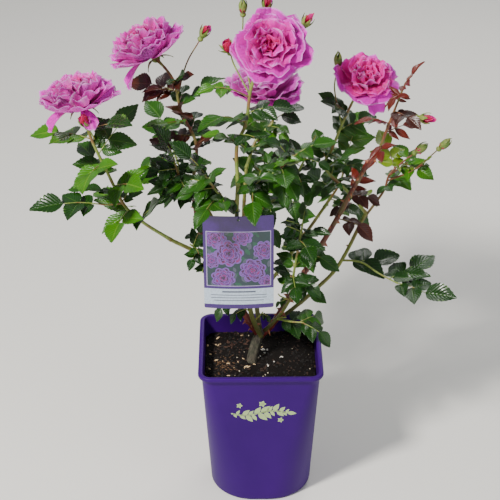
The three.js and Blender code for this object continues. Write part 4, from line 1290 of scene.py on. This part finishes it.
# Each finish, in the order of the names above: its colour at the foot, in the body and at the rim;
# the rim colour is partly the petal's paler edge and partly painted highlight
PETAL_FINISHES = [
    petal_finish(name, tile, *look) for tile, (name, *look) in enumerate((
        ("outer_petal", (214, 0, 130), (224, 14, 182), (252, 112, 244)),
        ("middle_petal", (212, 0, 104), (232, 6, 164), (250, 84, 224)),
        ("core_petal", (204, 0, 80), (236, 0, 132), (248, 56, 192)),
        # The petals' paler reverse, lightened beyond it as painted light for the back bloom, which wears it
        # and lies in the main bloom's shade.
        ("petal_back", (229, 56, 195), (232, 64, 202), (251, 140, 246)),
        ("deep_petal", (212, 0, 96), (240, 0, 142), (248, 44, 196)),
        ("bud_petal", (140, 0, 36), (198, 0, 56), (236, 40, 100), 0.4),
    ))
]


def petal_points(size, shape, bearing, draw, wild=1.0):
    """A petal's inner and outer sheets about an upright axis. The shape gives, over the bloom's
    radius, its reach, width, cup radius and ruffle, and its opening at foot and tip in degrees.
    Wild says how far it may stray from its neighbours."""
    reach, width, cup, ruffle, foot_open, tip_open, flare, start, lift, pointed = shape

    def jitter(amount):
        return 1 + amount * (2 * next(draw) - 1)

    reach = reach * size * jitter(0.08)
    width = width * size * jitter(0.12 * wild)
    cup = cup * size * jitter(0.2 * wild)
    foot_open = math.radians(foot_open) + 0.16 * wild * (next(draw) - 0.5)
    tip_open = math.radians(tip_open) + 0.45 * wild * (next(draw) - 0.5)
    flare = math.radians(flare) * jitter(min(0.5 * wild, 1))
    phase, beats = 6.3 * next(draw), 1.6 + 1.6 * next(draw)
    notch = 0.09 * next(draw)
    skew = 0.25 * wild * (next(draw) - 0.5)
    s = np.linspace(0, 1, PETAL_ROWS)[:, None]
    t = np.linspace(-1, 1, PETAL_COLUMNS)[None]
    rim = 1 - 0.2 * np.abs(t) ** 2.4 - notch * np.exp(-((t / 0.2) ** 2)) + 0.03 * np.sin(5 * t + phase)
    d = s * (1 - 0.02 * np.abs(t) if pointed else rim)
    fine = np.linspace(0, 1.1, 80)
    late = np.clip((fine - 0.68) / 0.32, 0, 1)
    angle = foot_open + (tip_open - foot_open) * fine + flare * late**2
    step = fine[1] - fine[0]
    out = np.cumsum(np.sin(angle)) * step * reach
    up = np.cumsum(np.cos(angle)) * step * reach
    out, up = out - out[0], up - up[0]
    radial = np.interp(d, fine, out) + start * size
    height = np.interp(d, fine, up) + lift * size
    tilt = np.interp(d, fine, angle)
    if pointed:
        share = np.clip(d, 0, 1)
        half = width / 2 * (0.25 + 0.75 * np.sin(np.pi * share**0.7)) * (1.02 - share) ** 0.5
    else:
        half = width / 2 * (0.3 + 0.7 * np.sin(np.pi / 2 * np.minimum(1, d / 0.66)))
    swing = t * half / cup
    sideways = cup * np.sin(swing) + skew * reach * d**2 * 0.4
    inward = cup * (1 - np.cos(swing))
    crimp = ruffle * size * d**2 * np.sin(beats * np.pi * t + phase) * (0.35 + 0.65 * np.abs(t))
    crimp = crimp + 0.25 * ruffle * size * d**3 * np.sin(1.9 * beats * np.pi * t - phase)
    sheets = []
    for hand in (1, -1):
        move = inward + crimp + hand * 0.00014
        x = radial - np.cos(tilt) * move
        z = height + np.sin(tilt) * move
        y = sideways * np.ones_like(x)
        c, sn = math.cos(bearing), math.sin(bearing)
        sheets.append(np.stack([x * c - y * sn, x * sn + y * c, z], 2).reshape(-1, 3))
    return sheets


def turn_to(axis):
    """The matrix that carries upright onto an axis by the shortest way."""
    return np.array(Vector((0, 0, 1)).rotation_difference(Vector(axis)).to_matrix())


def petal_places(tile):
    return [
        tile_place(c / (PETAL_COLUMNS - 1), r / (PETAL_ROWS - 1), tile, PETAL_TILES)
        for r in range(PETAL_ROWS)
        for c in range(PETAL_COLUMNS)
    ]


def add_petal(heap, size, shape, bearing, draw, place, turn, tiles, wild=1.0):
    front, back = petal_points(size, shape, bearing, draw, wild)
    for sheet, faces, tile in ((front, PETAL_FACES, tiles[0]), (back, PETAL_BACKS, tiles[1])):
        heap.add(sheet @ turn.T + place, faces, tile, petal_places(tile))


# Each tier: petals, reach, width, cup, ruffle, opening at foot and tip, flare, start, lift, finish.
# Domed blooms show the backs of standing petals; broad ones face the eye with fewer and wider petals.
DOMED_TIERS = [
    (5, 1.06, 1.2, 1.4, 0.09, 98, 48, 34, 0.05, -0.3, OUTER),
    (5, 1.04, 1.1, 1.1, 0.12, 86, 39, 38, 0.05, -0.3, OUTER),
    (6, 1.02, 1.0, 0.8, 0.13, 72, 30, 42, 0.05, -0.3, OUTER),
    (6, 0.98, 0.88, 0.6, 0.14, 58, 22, 44, 0.05, -0.3, MIDDLE),
    (6, 0.94, 0.78, 0.46, 0.15, 44, 16, 44, 0.05, -0.3, MIDDLE),
    (6, 0.9, 0.66, 0.34, 0.15, 30, 10, 40, 0.05, -0.3, MIDDLE),
    (5, 0.84, 0.54, 0.26, 0.13, 16, 4, 30, 0.04, -0.3, CORE),
    (5, 0.78, 0.42, 0.2, 0.1, 6, 0, 16, 0.03, -0.3, CORE),
    (3, 0.7, 0.34, 0.13, 0.06, 0, -10, 0, 0.02, -0.29, CORE),
]
BROAD_TIERS = [
    (5, 0.98, 1.4, 2.4, 0.11, 72, 92, 12, 0.04, -0.3, OUTER),
    (5, 0.9, 1.3, 1.6, 0.14, 64, 72, 24, 0.05, -0.28, OUTER),
    (4, 0.82, 1.2, 1.05, 0.17, 52, 50, 36, 0.05, -0.27, MIDDLE),
    (4, 0.73, 1.02, 0.75, 0.18, 40, 34, 46, 0.05, -0.26, MIDDLE),
    (4, 0.65, 0.86, 0.52, 0.18, 28, 22, 50, 0.05, -0.25, MIDDLE),
    (3, 0.57, 0.68, 0.36, 0.16, 16, 10, 42, 0.04, -0.25, CORE),
    (3, 0.5, 0.5, 0.25, 0.12, 6, 2, 26, 0.03, -0.25, CORE),
    (2, 0.44, 0.38, 0.14, 0.07, 0, -8, 0, 0.02, -0.25, CORE),
]
HANGING_PETAL = (0.8, 0.62, 0.9, 0.07, 104, 146, 6, 0.3, -0.3)
# Each bloom: its tiers, the finish of its middle petals where it isn't the tier's own, size over the
# solid's, shift, and how far its petals stray; then bearing and size of each hanging petal
BLOOM_FORMS = {
    "left_bloom_foliage": (DOMED_TIERS, None, 0.95, (-2, 0, -4), 1.3, ((196, 1.1), (296, 0.75))),
    "upper_left_foliage": (DOMED_TIERS, None, 1.04, (-5, 0, 1), 1.3, ((198, 1),)),
    "main_bloom_foliage": (BROAD_TIERS, None, 0.97, (0, 0, 0), 1.8, ()),
    # The back bloom's middle petals take the pale finish as painted light: lighter, as if sunlit, though the
    # main bloom shades it.
    "back_bloom_foliage": (DOMED_TIERS, PALE, 1.06, (-1, 0, 9), 1.3, ()),
    "right_bloom_foliage": (BROAD_TIERS, DEEP, 1.06, (0, 0, 0), 1.6, ((300, 1),)),
}


def add_bloom(heap, mass, form):
    """One bloom: tiers of petals round its axis, then any that have dropped and hang."""
    tiers, own, scale, shift, wild, hanging = form
    centre, axis, width = mass["bloom"]
    size = width / 2 * scale * MM
    turn = turn_to(axis)
    place = (np.array(centre, float) + shift) * MM
    draw = seeded(mass["seed"] + 900)
    for number, (count, *shape, tile) in enumerate(tiers):
        colour = own if own and 0 < number < 6 else tile
        for k in range(count):
            bearing = 2 * math.pi * (k / count + 0.38 * number) + 0.8 * (next(draw) - 0.5)
            tiles = (colour, CORE if tile == CORE else PALE)
            add_petal(heap, size, (*shape, False), bearing, draw, place, turn, tiles, wild)
    for bearing, share in hanging:
        shape = (HANGING_PETAL[0] * (0.5 + share / 2), HANGING_PETAL[1] * share, *HANGING_PETAL[2:], False)
        add_petal(heap, size, shape, math.radians(bearing), draw, place, turn, (OUTER, PALE))


def make_blooms():
    heap = Heap()
    for name, form in BLOOM_FORMS.items():
        add_bloom(heap, MASSES[name], form)
    heap.piece("rose_petals", PETAL_FINISHES, "petal")


make_blooms()

# Buds and cups: a bud is a tight roll of crimson petals in five green sepals on a round green cup.
# Young ones are closed in their sepals. Open blooms keep the cup and the sepals, turned back.

BUD_LONG = 26 * MM
# Each state: the roll's reach and fatness, its opening at foot and tip, then the sepals' reach,
# width, and opening at foot and tip
BUD_STATES = {
    "green": (0.5, 0.18, 30, -38, 0.98, 0.44, 42, -50),
    "showing": (0.95, 0.25, 36, -34, 0.72, 0.36, 50, -8),
    "opening": (0.86, 0.34, 44, -22, 0.7, 0.36, 66, 40),
}


def make_buds():
    green, tree, shader = surface("sepal", (104, 134, 50), 0.55)
    cloudy = noise_of(tree, None, 160, 3)
    painted(tree, shader, ramp_of(tree, cloudy, (0.35, (82, 118, 40)), (0.7, (150, 156, 78))))
    bumped(tree, shader, noise_of(tree, None, 900), 0.3, 0.0004)
    petals, greens = Heap(), Heap()

    def cup(foot, axis, radius, height):
        """The round green cup under a bud or bloom, its foot at the top of the twig."""
        rings = []
        for t in np.linspace(0, 1, 9):
            out = radius * (0.34 + 0.66 * math.sin(math.pi * min(t, 0.86) / 1.1) ** 0.8)
            rings.append([(out * math.cos(angle), out * math.sin(angle), height * t) for angle in angles(12)])
        points, faces = closed(rings)
        greens.add(np.array(points) @ turn_to(axis).T + foot, faces)

    def sepals(foot, axis, size, reach, width, opening, draw):
        turn = turn_to(axis)
        for k in range(5):
            shape = (reach, width, 0.24, 0.015, *opening, 0, 0.07, 0, True)
            sheets = petal_points(size, shape, 2 * math.pi * k / 5, draw)
            for sheet, faces in zip(sheets, (PETAL_FACES, PETAL_BACKS)):
                greens.add(sheet @ turn.T + foot, faces)

    def bud(end, axis, state, draw):
        reach, fat, foot_open, tip_open, long_sepal, wide_sepal, sepal_foot, sepal_tip = BUD_STATES[state]
        axis = unit(axis)
        foot = end * MM
        cup(foot - axis * BUD_LONG * 0.04, axis, BUD_LONG * 0.17, BUD_LONG * 0.26)
        seat = foot + axis * BUD_LONG * 0.18
        turn = turn_to(axis)
        for k in range(6):
            tight = 1 - 0.06 * k
            shape = (reach * tight, 0.7, fat * tight, 0.015, foot_open, tip_open, 14, 0.02, 0, False)
            add_petal(petals, BUD_LONG, shape, 2.4 * k, draw, seat, turn, (BUD, BUD))
        sepals(seat, axis, BUD_LONG, long_sepal, wide_sepal, (sepal_foot, sepal_tip), draw)

    for mass in MASSES.values():
        draw = seeded(mass["seed"] + 1300)
        if "bloom" in mass:
            centre, axis, width = mass["bloom"]
            axis = unit(np.array(axis, float))
            seat = (np.array(centre, float) - axis * width * 0.24) * MM
            cup(seat, axis, 6.5 * MM, 9 * MM)
            sepals(seat + axis * 5 * MM, axis, 24 * MM, 1, 0.34, (80, 150), draw)
        for side in mass["twigs"]:
            if side["bud"]:
                end = side["points"][-1]
                bud(end, end - on_curve(side["points"], 0.96), side["bud"], draw)
        if mass["tip"] == "bud":
            end = mass["points"][-1]
            bud(end, end - on_curve(mass["points"], 0.97), "green", draw)
    petals.piece("bud_petals", PETAL_FINISHES, "petal")
    greens.piece("sepals_and_cups", [green], "leaf")


make_buds()

# Label card: a grower's card of thin glossy plastic, 100 by 150 mm, bowed a little, with a punched
# hole. It is printed with a purple border, a picture of lilac rosettes and a pale band of plain rules.

CARD_THICK = 1 * MM
CARD_BOW = 4 * MM
HOLE_DROP, HOLE_RADIUS = 6, 1.7
CARD_CORNER = 2.5
# Places on the card in millimetres from its middle: left, right, foot and top of each area, then each
# rule's height, half length and thickness, and each rosette's middle and radius
PICTURE, PICTURE_FRAME, TEXT_BAND = (-45, 45, -37, 50), (-46, 46, -38, 51), (-50, 50, -68, -42)
PICTURE_EDGE = 0.4
RULES = [(-47, 24, 2.4), (-52.5, 40, 1.1), (-57, 40, 1.1), (-61.5, 36, 1.1)]
ROSETTES = [
    (-33, 40, 17), (6, 43, 15), (36, 20, 16), (-38, 4, 13), (-14, 16, 22), (20, -12, 20), (-22, -24, 18),
    (40, -32, 12),
]
ROSETTE_TIERS = 7
PRINTED_LEAVES = 60


def bow(x):
    """How far the card bends back at x millimetres from its middle."""
    return CARD_BOW * (x / (CARD_WIDTH / 2)) ** 2


def make_card():
    heap = Heap()
    half, tall = CARD_WIDTH / 2, CARD_HEIGHT / 2
    finishes = []

    def ink(name, *colour):
        finish, tree, shader = surface(name, colour, 0.28, Coat_Weight=0.4, Coat_Roughness=0.12)
        grain = noise_of(tree, None, 350, 3)
        painted(tree, shader, ramp_of(tree, grain, (0.35, linear(colour, 0.8)), (0.6, colour)))
        finishes.append(finish)
        return len(finishes) - 1

    purple = ink("card_purple", 54, 10, 104)
    picture = ink("picture_ground", 18, 50, 56)
    frame_line = ink("picture_frame", 176, 164, 206)
    band = ink("text_band", 186, 202, 220)
    rule = ink("plain_rules", 70, 76, 96)
    rim_ink = ink("rosette_rim", 114, 74, 162)
    lilac = ink("rosette_lilac", 84, 20, 112)
    pink = ink("rosette_pink", 130, 12, 98)
    heart = ink("rosette_heart", 66, 6, 58)
    leafy = ink("print_leaf", 16, 80, 60)

    middle = np.array(CARD_MIDDLE, float)

    def on_card(x, z, depth):
        return (middle + (x, 0, z)) * MM + np.array((0, bow(x) + depth, 0))

    def sheet(outline, finish, proud):
        """A flat print on the card's face, from a list of x, z points round it."""
        depth = -CARD_THICK / 2 - proud * 0.03 * MM
        heap.add([on_card(x, z, depth) for x, z in outline], [tuple(range(len(outline)))], finish)

    def panel(area, finish, proud):
        x0, x1, z0, z1 = area
        strips = 16
        for i in range(strips):
            a, b = x0 + (x1 - x0) * i / strips, x0 + (x1 - x0) * (i + 1) / strips
            sheet([(a, z0), (b, z0), (b, z1), (a, z1)], finish, proud)

    columns = 24
    rim = []
    for corner_x, corner_z, start in ((1, 1, 0), (-1, 1, 90), (-1, -1, 180), (1, -1, 270)):
        for step in range(5):
            angle = math.radians(start + step * 22.5)
            rim.append((
                corner_x * (half - CARD_CORNER) + CARD_CORNER * math.cos(angle),
                corner_z * (tall - CARD_CORNER) + CARD_CORNER * math.sin(angle),
            ))
    hole_z = tall - HOLE_DROP
    ring = [(HOLE_RADIUS * math.cos(a), hole_z + HOLE_RADIUS * math.sin(a)) for a in angles(16)]
    plate = bpy.data.curves.new("card_outline", "CURVE")
    plate.dimensions = "2D"
    plate.fill_mode = "BOTH"
    plate.extrude = CARD_THICK / 2 / MM
    for loop in (rim, ring):
        spline = plate.splines.new("POLY")
        spline.points.add(len(loop) - 1)
        spline.use_cyclic_u = True
        for point, (x, z) in zip(spline.points, loop):
            point.co = (x, z, 0, 1)
    flat = bpy.data.objects.new("card_outline", plate)
    mesh = bpy.data.meshes.new_from_object(flat)
    work = bmesh.new()
    work.from_mesh(mesh)
    for x in np.linspace(-half, half, columns + 1)[1:-1]:
        whole = work.verts[:] + work.edges[:] + work.faces[:]
        bmesh.ops.bisect_plane(work, geom=whole, plane_co=(x, 0, 0), plane_no=(1, 0, 0), dist=1e-4)
    bmesh.ops.remove_doubles(work, verts=work.verts, dist=1e-3)
    bmesh.ops.recalc_face_normals(work, faces=work.faces)
    work.verts.index_update()
    points = [on_card(v.co.x, v.co.y, -v.co.z * MM) for v in work.verts]
    faces = [tuple(v.index for v in face.verts) for face in work.faces]
    heap.add(points, faces, purple)
    work.free()
    bpy.data.objects.remove(flat)

    def in_picture(x, z):
        left, right, foot, top = PICTURE
        x = min(max(x, left + PICTURE_EDGE), right - PICTURE_EDGE)
        return x, min(max(z, foot + PICTURE_EDGE), top - PICTURE_EDGE)

    panel(PICTURE_FRAME, frame_line, 1)
    panel(PICTURE, picture, 2)
    panel(TEXT_BAND, band, 1)
    for z, reach, thick in RULES:
        panel((-reach, reach, z - thick / 2, z + thick / 2), rule, 2)
    draw = seeded(77)
    for k in range(PRINTED_LEAVES):
        x, z = -44 + 88 * next(draw), -36 + 86 * next(draw)
        angle, size = 6.3 * next(draw), 7 + 8 * next(draw)
        outline = []
        for i in range(10):
            along = i / 5 if i < 5 else 2 - i / 5
            out = (1 if i < 5 else -1) * size * 0.26 * math.sin(math.pi * along)
            px = x + size * (along - 0.5) * math.cos(angle) - out * math.sin(angle)
            pz = z + size * (along - 0.5) * math.sin(angle) + out * math.cos(angle)
            outline.append(in_picture(px, pz))
        sheet(outline, (leafy, leafy, rule)[k % 3], 3 + k * 0.01)
    tints = (lilac, pink, lilac, heart, pink, heart, heart)
    for number, (x, z, radius) in enumerate(ROSETTES):
        for tier in range(ROSETTE_TIERS):
            reach = radius * (1 - tier / 7.6)
            petals_round = max(8 - tier, 3)
            for k in range(petals_round):
                angle = 2 * math.pi * (k / petals_round + 0.31 * tier) + number
                for finish, share in ((rim_ink, 1.0), (tints[(tier + number) % len(tints)], 0.88)):
                    outline = []
                    for i in range(9):
                        a = angle + (i / 8 - 0.5) * 2.5 * math.pi / petals_round * share
                        r = reach * (0.5 + (share - 0.5) * math.sin(math.pi * i / 8) ** 0.5)
                        outline.append(in_picture(x + r * math.cos(a), z + r * math.sin(a)))
                    foot = 0.25 * reach
                    outline.append(in_picture(x + foot * math.cos(angle), z + foot * math.sin(angle)))
                    sheet(outline, finish, 4 + 1.2 * number + 0.16 * tier + 0.012 * k + 0.006 * share)
    heap.piece("label_print_card", finishes, "card", ["label_card"], smooth=False)


make_card()

# Tie: a thin dark green plastic-coated wire that holds the card. It is looped round the front cane,
# and its end is hooked through the hole in the card.

TIE_WIRE = 0.8 * MM


def make_tie():
    finish, tree, shader = surface("tie_coating", (24, 66, 52), 0.45)
    bumped(tree, shader, noise_of(tree, None, 600), 0.15, 0.0003)
    heap = Heap()
    path, foot, tip = CANES["front_green_cane"]
    path = np.array(path, float)
    hole = np.array(CARD_MIDDLE) + (0.0, 0.0, CARD_HEIGHT / 2 - HOLE_DROP)
    share = next(i / 60 for i in range(61) if on_curve(path, i / 60)[2] > hole[2] + 4)
    seat = on_curve(path, share)
    along = unit(on_curve(path, share + 0.01) - on_curve(path, share - 0.01))
    radius = (foot + (tip - foot) * share + 1.3) * MM
    turn = turn_to(along)
    sides, steps = 8, 36
    points = []
    for a in angles(steps):
        for b in angles(sides):
            r = radius + TIE_WIRE * math.cos(b)
            points.append((r * math.cos(a), r * math.sin(a), TIE_WIRE * math.sin(b)))
    points += points[:sides]
    heap.add(np.array(points) @ turn.T + seat * MM, [face[::-1] for face in ring_faces(steps + 1, sides)])
    front = seat - np.array([0, radius / MM, 0])
    hook = [front, hole + (0, 7.5, 4), hole + (0, 2.5, 0), hole - (0, 2.5, 0), hole + (0, -3.3, 4)]
    heap.add(*tube([p * MM for p in hook], taper(TIE_WIRE, TIE_WIRE), 8, 32))
    heap.piece("wire_tie", [finish], "tie", ["label_tie"])


make_tie()
